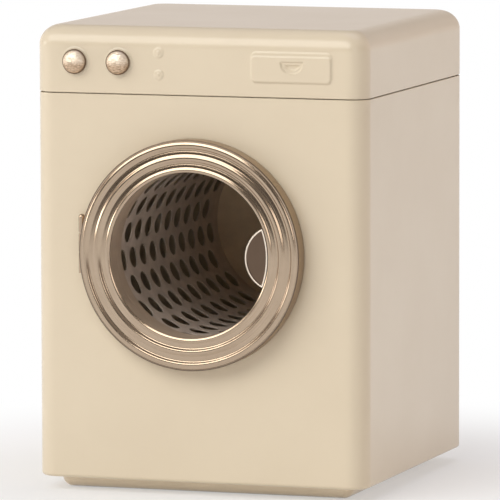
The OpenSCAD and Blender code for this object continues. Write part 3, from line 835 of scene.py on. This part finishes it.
def build_pan():
    levels = [(0, cab_low.z), (0, PAN_EDGE_R + 0.3 * MM)]
    for k in range(11):
        angle = math.pi / 2 * k / 10
        levels.append((PAN_EDGE_R * (1 - math.cos(angle)), PAN_EDGE_R * (1 - math.sin(angle))))
    levels += [(PAN_EDGE_R + 0.4 * MM, 0), (PAN_TURN_IN, 0)]
    verts = []
    rings = []
    for inset, z in levels:
        points = pan_ring(inset, z)
        rings.append(range(len(verts), len(verts) + len(points)))
        verts += points
    pan = make_piece("pressed_pan", verts, join_rings(rings) + [tuple(rings[-1])])
    face_outwards(pan, Vector((0, 0, cab_low.z)))
    thicken(pan, SHEET)
    return pan


pan = build_pan()
# Painted light: the pan takes the lighter copy of the cream enamel.
dress(pan, lit_base_enamel)
print("base pan:", triangles(pan), "triangles")

# %% [markdown]
# ## The door ring
# The ring is spun metal: three soft ridges, each steep towards the drum and falling gently towards
# the rim, a wall behind the rim and a lip towards the drum. All of it is one section carried round
# the door's axis. The face is written as its slope at each radius and added up from there, because
# the slope is what polished metal shows: it decides what each band reflects.

# %% Section of the ring
LIP_R = 18.6 * MM
RIM_R = RING_R + 0.15 * MM
FACE_OUT = PROUD
FACE_BACK = PROUD - 1.5 * MM
WALL = 0.6 * MM
WALL_BACK = 0.3 * MM
LIP_END = 0.15 * MM
RING_STEPS = 256


# Slope of the face at each radius in millimetres, in degrees: positive falls towards the rim
FACE_SLOPES = [
    (18.68, -34), (18.82, -28), (18.95, -18), (19.06, -4), (19.15, 4), (19.26, 14), (19.40, 28),
    (19.55, 30), (19.75, 12), (19.92, 4), (20.15, 9), (20.45, 14), (20.62, 4), (20.78, -16),
    (20.95, -38), (21.20, -40), (21.36, -26), (21.50, -6), (21.75, 2), (21.95, 10), (22.15, 26),
    (22.40, 32), (22.60, 16), (22.82, 4), (23.05, 9), (23.38, 14), (23.55, 4), (23.70, -16),
    (23.85, -38), (24.08, -40), (24.25, -26), (24.40, -6), (24.62, 2), (24.82, 10), (25.00, 24),
    (25.22, 24), (25.36, 4), (25.48, -10), (25.60, 4)]
FACE_STEP = 0.05 * MM


def slope_at(r):
    """The face's slope between two listed radii."""
    for (r0, s0), (r1, s1) in zip(FACE_SLOPES, FACE_SLOPES[1:]):
        if r <= r1 * MM:
            return s0 + (s1 - s0) * (r / MM - r0) / (r1 - r0)
    return FACE_SLOPES[-1][1]


def face_curve():
    """Points of the face from lip to rim, its highest ridge at the ring's full height."""
    start = FACE_SLOPES[0][0] * MM
    steps = round((FACE_SLOPES[-1][0] * MM - start) / FACE_STEP)
    curve = [(start, 0.0)]
    for k in range(steps):
        r = start + (k + 0.5) * FACE_STEP
        curve.append((r + FACE_STEP / 2, curve[-1][1] - math.tan(math.radians(slope_at(r))) * FACE_STEP))
    top = max(out for _, out in curve)
    return [(r, FACE_OUT - top + out) for r, out in curve]


def soften(points, steps=5):
    """Rounds each corner of a section; a point is radius, distance out and rounding."""
    places = [Vector(p[:2]) for p in points]
    rounded = []
    for i, (here, point) in enumerate(zip(places, points)):
        rounding = point[2]
        if rounding == 0:
            rounded.append(tuple(here))
            continue
        before = places[i - 1] - here
        after = places[(i + 1) % len(places)] - here
        start = here + before.normalized() * min(rounding, 0.48 * before.length)
        end = here + after.normalized() * min(rounding, 0.48 * after.length)
        for k in range(steps + 1):
            t = k / steps
            rounded.append(tuple((1 - t) ** 2 * start + 2 * t * (1 - t) * here + t * t * end))
    return rounded


def ring_section():
    """The closed section, from the lip over the face to the wall and back inside."""
    face = face_curve()
    first, last = face[0], face[-1]
    lip = soften([(LIP_R + WALL, LIP_END, 0.12 * MM), (LIP_R, LIP_END, 0.12 * MM),
                  (LIP_R, first[1] - 0.02 * MM, 0.2 * MM), (first[0], first[1], 0)], 4)
    lip = lip[5:]
    rim = soften([(last[0], last[1], 0), (RIM_R, last[1] - 0.06 * MM, 0.2 * MM),
                  (RIM_R, WALL_BACK, 0.12 * MM), (RIM_R - WALL, WALL_BACK, 0.12 * MM),
                  (RIM_R - WALL, FACE_BACK, 0.2 * MM), (LIP_R + WALL, FACE_BACK, 0.2 * MM),
                  (LIP_R + WALL, LIP_END, 0.12 * MM)], 4)
    return lip[:-1] + face + rim[1:]


def build_ring():
    return lathe("door_rim", ring_section(), RING_STEPS)


door_rim = build_ring()
dress(door_rim, champagne)


# The ring's lip, which takes the same satin finish with its painted shade.
def on_lip(place):
    radius, out = from_door(place)
    return out < FACE_OUT - 1.2 * MM and radius < LIP_R + WALL


EDGE_WIDTH = 0.28 * MM
EDGE_DEPTH = 0.42 * MM
WALL_WIDTH = 0.1 * MM


# The band at the ring's outer edge, which takes the painted shade.
def on_edge(place):
    radius, out = from_door(place)
    return radius > RIM_R - EDGE_WIDTH and out > FACE_OUT - EDGE_DEPTH


def on_wall(place):
    radius, out = from_door(place)
    return radius > RIM_R - WALL_WIDTH and out < FACE_OUT - EDGE_DEPTH


print("door ring:", triangles(door_rim), "triangles,",
      dress_part(door_rim, collar_satin_and_shade, on_lip), "faces of the lip in the duller finish,",
      dress_part(door_rim, rim_shade_metal, on_edge), "faces of the edge left dark,",
      dress_part(door_rim, wall_metal, on_wall), "faces of the wall brushed")

# %% [markdown]
# ## The pull tab
# The tab is a lens-shaped plate across the right of the opening, with a raised rim and a short lug
# to the ring's lip. Two circles cut the lens. The rim is made by repeating that outline a little
# smaller each time, at the height that the rim has there, so its width stays even up to the points.

# %% The tab
TAB_R = 18.55 * MM
TAB_ARC_R = 7.42 * MM
TAB_ARC_X = 20.62 * MM
TAB_OUT = 4.1 * MM
TAB_THICK = 0.5 * MM
TAB_RIM = 0.25 * MM
LUG_HALF = 2 * MM


def lens(inset, steps=28):
    """The tab's outline about the door's axis, moved in by inset."""
    outer = TAB_R - inset
    inner = TAB_ARC_R - inset
    x = (outer ** 2 - inner ** 2 + TAB_ARC_X ** 2) / (2 * TAB_ARC_X)
    z = math.sqrt(outer ** 2 - x ** 2)
    swing = math.degrees(math.atan2(z, x))
    right = arc(0, 0, outer, -swing, swing, steps)
    start = math.degrees(math.atan2(z, x - TAB_ARC_X))
    left = arc(TAB_ARC_X, 0, inner, start, 360 - start, steps)
    return right[:-1] + left[:-1]


def build_tab():
    low = TAB_OUT - TAB_THICK
    levels = [(0.1, low), (0, low + 0.1 * MM), (0, TAB_OUT + 0.12 * MM), (0.05, TAB_OUT + 0.2 * MM),
              (0.14, TAB_OUT + TAB_RIM), (0.26, TAB_OUT + TAB_RIM), (0.37, TAB_OUT + 0.19 * MM),
              (0.44, TAB_OUT + 0.08 * MM), (0.52, TAB_OUT), (0.75, TAB_OUT), (1.6, TAB_OUT),
              (2.3, TAB_OUT)]
    verts = []
    rings = []
    for inset, out in levels:
        outline = lens(inset * MM)
        rings.append(range(len(verts), len(verts) + len(outline)))
        verts += [(DOOR_X + x, FRONT_Y - out, DOOR_Z + z) for x, z in outline]
    faces = join_rings(rings) + [tuple(rings[0]), tuple(rings[-1])]
    reach = LIP_R + 0.1 * MM
    swing = math.degrees(math.asin(LUG_HALF / reach))
    root = TAB_R - 0.4 * MM
    plate = arc(0, 0, reach, -swing, swing, 8) + [(root, LUG_HALF), (root, -LUG_HALF)]
    lug = []
    for out in (low + 0.06 * MM, TAB_OUT - 0.06 * MM):
        lug.append(range(len(verts), len(verts) + len(plate)))
        verts += [(DOOR_X + x, FRONT_Y - out, DOOR_Z + z) for x, z in plate]
    faces += join_rings(lug) + [tuple(lug[0]), tuple(lug[1])]
    return make_piece("finger_tab", verts, faces)


tab = build_tab()
# Painted shade: the tab takes the darkened copy of the plating.
dress(tab, shaded_tab_metal)


# The tab's raised rim, which takes the painted highlight.
def on_rim(place):
    return from_door(place)[1] > TAB_OUT + 0.17 * MM


print("pull tab:", triangles(tab), "triangles,",
      dress_part(tab, rim_highlight_metal, on_rim), "faces of its rim polished")

# %% [markdown]
# ## Hammered knobs
# Each knob is a domed button whose top is planished with a small round-faced hammer, so it is
# covered with shallow dents that meet in soft ridges. The dome is a turned profile. Each point is
# then pushed in by its distance to the nearest of a scatter of dent centres, which is what a
# hammer does. A bump in the material alone would leave the knob's outline too perfect.

# %% The knobs
KNOB_STEPS = 72
DENT_SIZE = 0.5 * MM
DENT_DEPTH = 0.05 * MM


def dent_depth(place):
    """How deep the nearest hammer blow lies at a place."""
    nearest = noise.voronoi(place / DENT_SIZE)[0][0]
    return DENT_DEPTH * (1 - ease(nearest / 0.85))


def build_knob(name, low, high):
    radius = (high.x - low.x) / 2 - 0.12 * MM
    cx = (low.x + high.x) / 2
    cz = (low.z + high.z) / 2
    base = FRONT_Y - high.y
    rim = base + 0.45 * MM
    rise = FRONT_Y - low.y - rim
    section = [(0.9 * MM, base), (radius - 0.15 * MM, base), (radius - 0.04 * MM, base + 0.04 * MM),
               (radius, base + 0.15 * MM), (radius, rim)]
    for k in range(1, 25):
        r = radius * math.cos(math.pi / 2 * k / 24)
        section.append((max(r, 0.0), rim + rise * (1 - (r / radius) ** 2) ** 0.62))
    knob = lathe(name, section, KNOB_STEPS, centre=(cx, cz))
    middle = Vector((cx, FRONT_Y - base, cz))
    for v in knob.data.vertices:
        out = FRONT_Y - v.co.y
        if out > rim:
            share = ease((out - rim) / (0.5 * MM))
            push = share * (dent_depth(v.co) + 0.02 * MM)
            v.co += (middle - v.co).normalized() * push
    return knob


knob_pieces = {}
for node, (low, high) in knobs.items():
    knob_pieces[node] = build_knob("hammered_" + node, low, high)
    dress(knob_pieces[node], knob_metal)
    print(node, triangles(knob_pieces[node]), "triangles")

# %% [markdown]
# ## The perforated drum
# The drum is a cylinder of thin sheet with twenty rows of round holes, every second row shifted by
# half a pitch. Its pattern follows a rule, so Geometry Nodes lay it out flat: a small tile with a
# hole is set on a grid of points, plain tiles fill the ends of the shifted rows, and the sheet is
# then bent round the axis. Cutting two hundred holes with booleans would be slow and leave poor
# faces.

# %% Sizes of the drum
DRUM_ROWS = 20
HOLE_R = 2.35 * MM
HOLE_PITCH = 6.73 * MM
FIRST_HOLE = 6.2 * MM
HOLES_IN_ROW = 10
ROW_TURN = math.radians(180 - 27.95)
DRUM_T = 0.25 * MM
DRUM_R = (cap_high.x - cap_low.x) / 2 - 0.8 * MM
DRUM_FRONT = drum_low.y - FRONT_Y
DRUM_BACK = drum_high.y - FRONT_Y
TILE_W = 2 * math.pi * DRUM_R / DRUM_ROWS
print(f"drum radius {1000 * DRUM_R:.2f}, depth {1000 * DRUM_FRONT:.1f} to {1000 * DRUM_BACK:.1f} mm")


# %% Geometry node helpers
class Tree:
    """A geometry node tree that is written like formulas."""

    def __init__(self, name, inputs):
        self.tree = bpy.data.node_groups.new(name, "GeometryNodeTree")
        self.sockets = {}
        for label, kind, value in inputs:
            socket = self.tree.interface.new_socket(
                label, in_out="INPUT", socket_type="NodeSocket" + kind)
            if value is not None:
                socket.default_value = value
            self.sockets[label] = socket.identifier
        self.tree.interface.new_socket("Geometry", in_out="OUTPUT", socket_type="NodeSocketGeometry")
        self.entry = self.tree.nodes.new("NodeGroupInput")
        self.leave = self.tree.nodes.new("NodeGroupOutput")

    def node(self, kind, links=(), **settings):
        node = self.tree.nodes.new(kind)
        for key, value in settings.items():
            setattr(node, key, value)
        for key, value in dict(links).items():
            socket = node.inputs[key]
            if isinstance(value, bpy.types.NodeSocket):
                self.tree.links.new(value, socket)
            else:
                socket.default_value = value
        return node

    def math(self, operation, a, b=None, c=None):
        links = {0: a}
        if b is not None:
            links[1] = b
        if c is not None:
            links[2] = c
        return self.node("ShaderNodeMath", links, operation=operation).outputs[0]

    def vector(self, x=0.0, y=0.0, z=0.0):
        return self.node("ShaderNodeCombineXYZ", {0: x, 1: y, 2: z}).outputs[0]


# %% The drum's node tree
def build_drum_tree():
    t = Tree("perforated_sheet", [
        ("Rows", "Int", 20), ("Holes", "Int", 10), ("Hole Radius", "Float", 0.002),
        ("Pitch", "Float", 0.007), ("Tile Width", "Float", 0.006), ("First Hole", "Float", 0.006),
        ("Radius", "Float", 0.02), ("Turn", "Float", 0.0), ("Front", "Float", 0.002),
        ("Back", "Float", 0.07), ("Axis", "Vector", None), ("Material", "Material", None)])
    given = t.entry.outputs
    pitch = given["Pitch"]
    width = given["Tile Width"]
    half_rows = t.math("DIVIDE", given["Rows"], 2.0)

    # One tile: a circle of edges, drawn out to a square round it
    circle = t.node("GeometryNodeMeshCircle", {"Vertices": 32, "Radius": given["Hole Radius"]},
                    fill_type="NONE").outputs["Mesh"]
    drawn = t.node("GeometryNodeExtrudeMesh", {"Mesh": circle, "Offset Scale": 0.0}, mode="EDGES")
    place = t.node("GeometryNodeInputPosition").outputs[0]
    split = t.node("ShaderNodeSeparateXYZ", {0: place}).outputs
    swing = t.math("ARCTAN2", split[1], split[0])
    turns = t.math("DIVIDE", swing, math.pi / 4)

    def zigzag(value):
        """Goes 1, 1, -1, -1 over eight steps with straight runs between: a square's side."""
        wrapped = t.math("FLOORED_MODULO", value, 8.0)
        folded = t.math("SUBTRACT", t.math("ABSOLUTE", t.math("SUBTRACT", wrapped, 4.0)), 2.0)
        return t.math("MAXIMUM", t.math("MINIMUM", folded, 1.0), -1.0)

    side_x = t.math("MULTIPLY", zigzag(turns), t.math("MULTIPLY", width, 0.5))
    side_y = t.math("MULTIPLY", zigzag(t.math("SUBTRACT", turns, 2.0)), t.math("MULTIPLY", pitch, 0.5))
    square = t.node("GeometryNodeSetPosition", {
        "Geometry": drawn.outputs["Mesh"], "Selection": drawn.outputs["Top"],
        "Position": t.vector(side_x, side_y)}).outputs[0]

    def laid(tile, count_x, count_y, step_x, step_y, start_x, start_y):
        """Copies of a tile on a grid that starts at a place."""
        sheet = t.node("GeometryNodeMeshGrid", {
            "Vertices X": count_x, "Vertices Y": count_y,
            "Size X": t.math("MULTIPLY", step_x, t.math("SUBTRACT", count_x, 1.0)),
            "Size Y": t.math("MULTIPLY", step_y, t.math("SUBTRACT", count_y, 1.0))}).outputs["Mesh"]
        middle = t.vector(
            t.math("ADD", start_x, t.math("MULTIPLY", t.math("MULTIPLY", step_x, 0.5),
                                          t.math("SUBTRACT", count_x, 1.0))),
            t.math("ADD", start_y, t.math("MULTIPLY", t.math("MULTIPLY", step_y, 0.5),
                                          t.math("SUBTRACT", count_y, 1.0))))
        points = t.node("GeometryNodeSetPosition", {"Geometry": sheet, "Offset": middle}).outputs[0]
        return t.node("GeometryNodeInstanceOnPoints", {"Points": points, "Instance": tile}).outputs[0]

    def plain(length, cells):
        return t.node("GeometryNodeMeshGrid", {
            "Size X": width, "Size Y": length, "Vertices X": 9, "Vertices Y": cells + 1}).outputs["Mesh"]

    first = given["First Hole"]
    half_pitch = t.math("MULTIPLY", pitch, 0.5)
    double = t.math("MULTIPLY", width, 2.0)
    sheet_start = t.math("SUBTRACT", first, half_pitch)
    sheet_end = t.math("ADD", sheet_start, t.math("MULTIPLY", pitch, given["Holes"]))
    short = t.math("SUBTRACT", given["Holes"], 1.0)
    front_band = t.math("SUBTRACT", sheet_start, given["Front"])
    back_band = t.math("SUBTRACT", given["Back"], sheet_end)
    filler = plain(half_pitch, 4)
    quarter = t.math("MULTIPLY", pitch, 0.25)
    parts = [
        laid(square, half_rows, given["Holes"], double, pitch, 0.0, first),
        laid(square, half_rows, short, double, pitch, width, t.math("ADD", first, half_pitch)),
        laid(filler, half_rows, 1, double, pitch, width, t.math("ADD", sheet_start, quarter)),
        laid(filler, half_rows, 1, double, pitch, width, t.math("SUBTRACT", sheet_end, quarter)),
        laid(plain(front_band, 1), given["Rows"], 1, width, pitch, 0.0,
             t.math("SUBTRACT", sheet_start, t.math("MULTIPLY", front_band, 0.5))),
        laid(plain(back_band, 2), given["Rows"], 1, width, pitch, 0.0,
             t.math("ADD", sheet_end, t.math("MULTIPLY", back_band, 0.5)))]
    join = t.node("GeometryNodeJoinGeometry")
    for part in reversed(parts):
        t.tree.links.new(part, join.inputs[0])
    real = t.node("GeometryNodeRealizeInstances", {0: join.outputs[0]}).outputs[0]

    # Bend the flat sheet round the axis: along its width becomes an angle
    flat = t.node("ShaderNodeSeparateXYZ", {0: t.node("GeometryNodeInputPosition").outputs[0]}).outputs
    angle = t.math("ADD", given["Turn"], t.math("DIVIDE", flat[0], given["Radius"]))
    axis = t.node("ShaderNodeSeparateXYZ", {0: given["Axis"]}).outputs
    bent = t.vector(
        t.math("ADD", axis[0], t.math("MULTIPLY", given["Radius"], t.math("COSINE", angle))),
        t.math("ADD", axis[1], flat[1]),
        t.math("ADD", axis[2], t.math("MULTIPLY", given["Radius"], t.math("SINE", angle))))
    rolled = t.node("GeometryNodeSetPosition", {"Geometry": real, "Position": bent}).outputs[0]
    merged = t.node("GeometryNodeMergeByDistance", {"Geometry": rolled, "Distance": 0.00001}).outputs[0]
    dressed = t.node("GeometryNodeSetMaterial", {"Geometry": merged, "Material": given["Material"]})
    t.tree.links.new(dressed.outputs[0], t.leave.inputs[0])
    return t


def node_piece(name, tree, values):
    """Evaluates a node tree on a new object and returns it as a plain mesh."""
    piece = bpy.data.objects.new(name, bpy.data.meshes.new(name))
    bpy.context.scene.collection.objects.link(piece)
    modifier = piece.modifiers.new("nodes", "NODES")
    modifier.node_group = tree.tree
    for label, value in values.items():
        modifier[tree.sockets[label]] = value
    return apply_modifiers(piece)


drum_tree = build_drum_tree()
drum = node_piece("perforated_drum", drum_tree, {
    "Rows": DRUM_ROWS, "Holes": HOLES_IN_ROW, "Hole Radius": HOLE_R, "Pitch": HOLE_PITCH,
    "Tile Width": TILE_W, "First Hole": FIRST_HOLE, "Radius": DRUM_R, "Turn": ROW_TURN,
    "Front": DRUM_FRONT, "Back": DRUM_BACK, "Axis": (DOOR_X, FRONT_Y, DOOR_Z), "Material": drum_metal})
print("flat sheet, bent:", len(drum.data.polygons), "faces")


# %% Thickness and the drum's flange
def finish_drum(piece):
    """Faces the sheet away from the axis and thickens it outwards."""
    face_outwards(piece, Vector((DOOR_X, (DRUM_FRONT + DRUM_BACK) / 2 + FRONT_Y, DOOR_Z)))
    thicken(piece, DRUM_T, offset=1.0)
    return piece


finish_drum(drum)
flange_r = (drum_high.x - drum_low.x) / 2
flange = lathe("drum_flange", soften([
    (DRUM_R + 0.35 * MM, -DRUM_FRONT, 0), (flange_r, -DRUM_FRONT, 0.12 * MM),
    (flange_r, -DRUM_FRONT - DRUM_T, 0.12 * MM), (DRUM_R + 0.35 * MM, -DRUM_FRONT - DRUM_T, 0)]), 160)
dress(flange, drum_metal)
print("drum:", triangles(drum), "triangles")

# %% [markdown]
# ## Solids that stay
# The neck under the lid, the drum's back, the hinge and the small fastenings have the right shape in
# the frame, so they only get their finish.

# %% Finishes of the solids
FINISHES = {
    "neck_band": enamel, "hinge_bracket": champagne,
    "door_liner": champagne, "door_knuckle": champagne, "drum_bush": champagne,
    "thrust_washer": champagne, "drum_back": back_metal,
    "hinge_pin": champagne, "bearing_plate": enamel, "door_rivets": steel, "drum_axle": steel,
    "knob_shank_left": steel, "knob_washer_left": steel,
    "knob_shank_right": steel, "knob_washer_right": steel}
for node, finish in FINISHES.items():
    dress(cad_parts[node], finish)
print("finished solids:", len(FINISHES))

# %% [markdown]
# ## Tying the pieces to the mechanism
# Every piece says which body it moves with, which solid it stands for, and which finish it takes.

# %% Bodies, solids and slots
TIES = [
    (lid, "lid", "lid_shell", "cream_enamel"),
    (cabinet, "cabinet", "cabinet_shell", "cream_enamel"),
    (pan, "cabinet", "base_pan", "cream_enamel"),
    (door_rim, "door", "door_ring", "champagne_metal"),
    (tab, "door", "pull_tab", "champagne_metal"),
    (knob_pieces["knob_left"], "left_dial", "knob_left", "champagne_metal"),
    (knob_pieces["knob_right"], "right_dial", "knob_right", "champagne_metal"),
    (drum, "drum", "drum_shell", "drum_metal"),
    (flange, "drum", "drum_shell", "drum_metal")]
for piece, body, node, slot in TIES:
    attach(piece, body)
    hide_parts(node)
print("tied:", len(TIES), "pieces")

# %% [markdown]
# ## Floor, light and camera
# The machine stands on a pale floor in soft studio light: a large lamp from the front left, a low
# one from the far left, a small one from the front right, a warm one from the right-hand side and a
# weak one from high behind. The floor is mostly matt near the machine, where it keeps the shadow,
# and turns into even white further out. Polished metal mirrors that same floor. The light that the
# floor throws back is slightly warm.

# %% Floor
FLOOR_R = 1.9
FLOOR_DROP = 0.1 * MM
SHADOW_NEAR = 0.04
SHADOW_FAR = 0.14
NEAR_GLOW = 0.4
FLOOR_LIGHT = (0.93, 0.93, 0.93, 1)
FLOOR_DARK = (0.90, 0.90, 0.90, 1)
THROWN_BACK = (0.95, 0.93, 0.9)


def fade_node(tree, value, start, end, low, high):
    """A soft step of a value between two limits."""
    node = add_node(tree, "ShaderNodeMapRange", interpolation_type="SMOOTHSTEP",
                    in1=start, in2=end, in3=low, in4=high)
    tree.links.new(value, node.inputs["Value"])
    return node.outputs["Result"]


def combine(tree, operation, first, second):
    node = add_node(tree, "ShaderNodeMath", operation=operation, use_clamp=True)
    tree.links.new(first, node.inputs[0])
    tree.links.new(second, node.inputs[1])
    return node.outputs[0]


def mix_colours(tree, factor, low, high):
    """Mixes two colours; each is a socket or plain numbers."""
    node = add_node(tree, "ShaderNodeMix", data_type="RGBA")
    tree.links.new(factor, node.inputs["Factor"])
    for socket, colour in ((node.inputs[6], low), (node.inputs[7], high)):
        if isinstance(colour, tuple):
            socket.default_value = (*colour, 1)
        else:
            tree.links.new(colour, socket)
    return node.outputs[2]


def build_floor():
    """A round floor just under the machine; it glows the same for camera, metal and glass."""
    verts = [(FLOOR_R * math.cos(math.radians(a)), FLOOR_R * math.sin(math.radians(a)), -FLOOR_DROP)
             for a in range(0, 360, 3)]
    piece = make_piece("floor", verts, [tuple(range(len(verts)))])
    face_outwards(piece, Vector((0, 0, -1)))
    material, tree, shader, place = new_material("pale_floor", 0.75)
    tones = add_group(tree, two_tone, place, scale=12.0, contrast=1.0,
                      light_tone=FLOOR_LIGHT, dark_tone=FLOOR_DARK)
    path = tree.nodes.new("ShaderNodeLightPath").outputs
    seen = combine(tree, "ADD", path["Is Camera Ray"], path["Is Glossy Ray"])
    seen = combine(tree, "ADD", seen, path["Is Transmission Ray"])
    tree.links.new(mix_colours(tree, seen, THROWN_BACK, tones.outputs["Color"]),
                   shader.inputs["Base Color"])
    length = add_node(tree, "ShaderNodeVectorMath", operation="LENGTH")
    tree.links.new(place, length.inputs[0])
    fade = fade_node(tree, length.outputs["Value"], SHADOW_NEAR, SHADOW_FAR, NEAR_GLOW, 1.0)
    white = combine(tree, "MULTIPLY", fade, seen)
    glow = add_node(tree, "ShaderNodeEmission")
    blend = add_node(tree, "ShaderNodeMixShader")
    tree.links.new(white, blend.inputs[0])
    tree.links.new(shader.outputs[0], blend.inputs[1])
    tree.links.new(glow.outputs[0], blend.inputs[2])
    tree.links.new(blend.outputs[0], tree.nodes["Material Output"].inputs["Surface"])
    dress(piece, material)
    return piece


floor = build_floor()
print(f"{floor.name}: radius {FLOOR_R} m")


# %% World
def build_world():
    """A surround that is pale behind, soft from the left and above, and grey in front."""
    world = bpy.data.worlds.new("studio")
    world.use_nodes = True
    tree = world.node_tree
    background = tree.nodes["Background"]
    coords = tree.nodes.new("ShaderNodeTexCoord")
    split = add_node(tree, "ShaderNodeSeparateXYZ")
    tree.links.new(coords.outputs["Generated"], split.inputs[0])

    rear = combine(tree, "MULTIPLY", fade_node(tree, split.outputs["Y"], 0.2, 0.6, 0.0, 0.6),
                   fade_node(tree, split.outputs["Z"], 0.2, 0.5, 1.0, 0.2))
    horizon = combine(tree, "MULTIPLY", fade_node(tree, split.outputs["Y"], 0.2, 0.6, 0.0, 0.4),
                      fade_node(tree, split.outputs["Z"], 0.02, 0.08, 1.0, 0.0))
    level = combine(tree, "ADD", rear, horizon)
    for axis, start, end, low, high in (("X", -0.55, -0.95, 0.1, 0.7), ("X", 0.05, 0.8, 0.0, 0.25),
                                        ("Z", 0.35, 0.95, 0.0, 0.15)):
        level = combine(tree, "ADD", level, fade_node(tree, split.outputs[axis], start, end, low, high))
    tree.links.new(mix_colours(tree, level, (0, 0, 0), (1.0, 0.91, 0.86)), background.inputs["Color"])
    background.inputs["Strength"].default_value = 1.0
    bpy.context.scene.world = world
    return world


studio = build_world()
print("surround:", studio.name)


# %% Lamps
def add_lamp(name, place, aim, size, power, colour=(1, 1, 1)):
    lamp = bpy.data.lights.new(name, "AREA")
    lamp.shape = "RECTANGLE"
    lamp.size, lamp.size_y = size
    lamp.energy = power
    lamp.color = colour
    holder = bpy.data.objects.new(name, lamp)
    bpy.context.scene.collection.objects.link(holder)
    holder.location = place
    holder.rotation_euler = (Vector(aim) - Vector(place)).to_track_quat("-Z", "Y").to_euler()
    return holder


def aim_at(azimuth, elevation, distance):
    """A place around the machine; azimuth 0 is straight in front, positive to the right."""
    a, e = math.radians(azimuth), math.radians(elevation)
    return (distance * math.sin(a) * math.cos(e), -distance * math.cos(a) * math.cos(e),
            0.055 + distance * math.sin(e))


middle = (0, 0, 0.055)
add_lamp("key", aim_at(-27, 37, 1.7), middle, (1.75, 1.1), 21.3, (1.0, 0.98, 0.94))
add_lamp("low", aim_at(-72, 7, 1.6), (0, 0, 0.03), (0.6, 0.3), 2.2, (1.0, 0.98, 0.94))
add_lamp("right", aim_at(34, 12, 1.6), middle, (0.5, 0.5), 1.6, (1.0, 0.95, 0.90))
add_lamp("side", aim_at(120, 22, 1.2), middle, (1.1, 1.0), 2.1, (0.95, 0.70, 0.57))
add_lamp("top", aim_at(160, 75, 1.2), middle, (0.8, 0.6), 1.6, (0.95, 0.92, 1.1))
print("lamps placed")


# %% Camera
CAMERA_TURNS = (18.526, 6.246, -0.134)
CAMERA_ASIDE = -0.739 * MM
CAMERA_RISE = -0.978 * MM
CAMERA_DISTANCE = 1453 * MM
CAMERA_LENS = 457.8
HALF_HEIGHT = 52.5 * MM


def build_camera():
    """Looks from the right, slightly from above, with a long lens."""
    azimuth, elevation, roll = (math.radians(a) for a in CAMERA_TURNS)
    back = Vector((math.sin(azimuth) * math.cos(elevation), -math.cos(azimuth) * math.cos(elevation),
                   math.sin(elevation)))
    right = Vector((math.cos(azimuth), math.sin(azimuth), 0))
    up = back.cross(right)
    right, up = (math.cos(roll) * right + math.sin(roll) * up,
                 -math.sin(roll) * right + math.cos(roll) * up)
    place = (CAMERA_ASIDE * right + CAMERA_RISE * up + CAMERA_DISTANCE * back
             + Vector((0, 0, HALF_HEIGHT)))
    data = bpy.data.cameras.new("camera")
    data.lens = CAMERA_LENS
    data.sensor_width = 36
    camera = bpy.data.objects.new("camera", data)
    bpy.context.scene.collection.objects.link(camera)
    camera.matrix_world = Matrix((
        (right.x, up.x, back.x, place.x), (right.y, up.y, back.y, place.y),
        (right.z, up.z, back.z, place.z), (0, 0, 0, 1)))
    bpy.context.scene.camera = camera
    return camera


build_camera()
bpy.context.scene.view_settings.view_transform = "Standard"
print("camera ready")
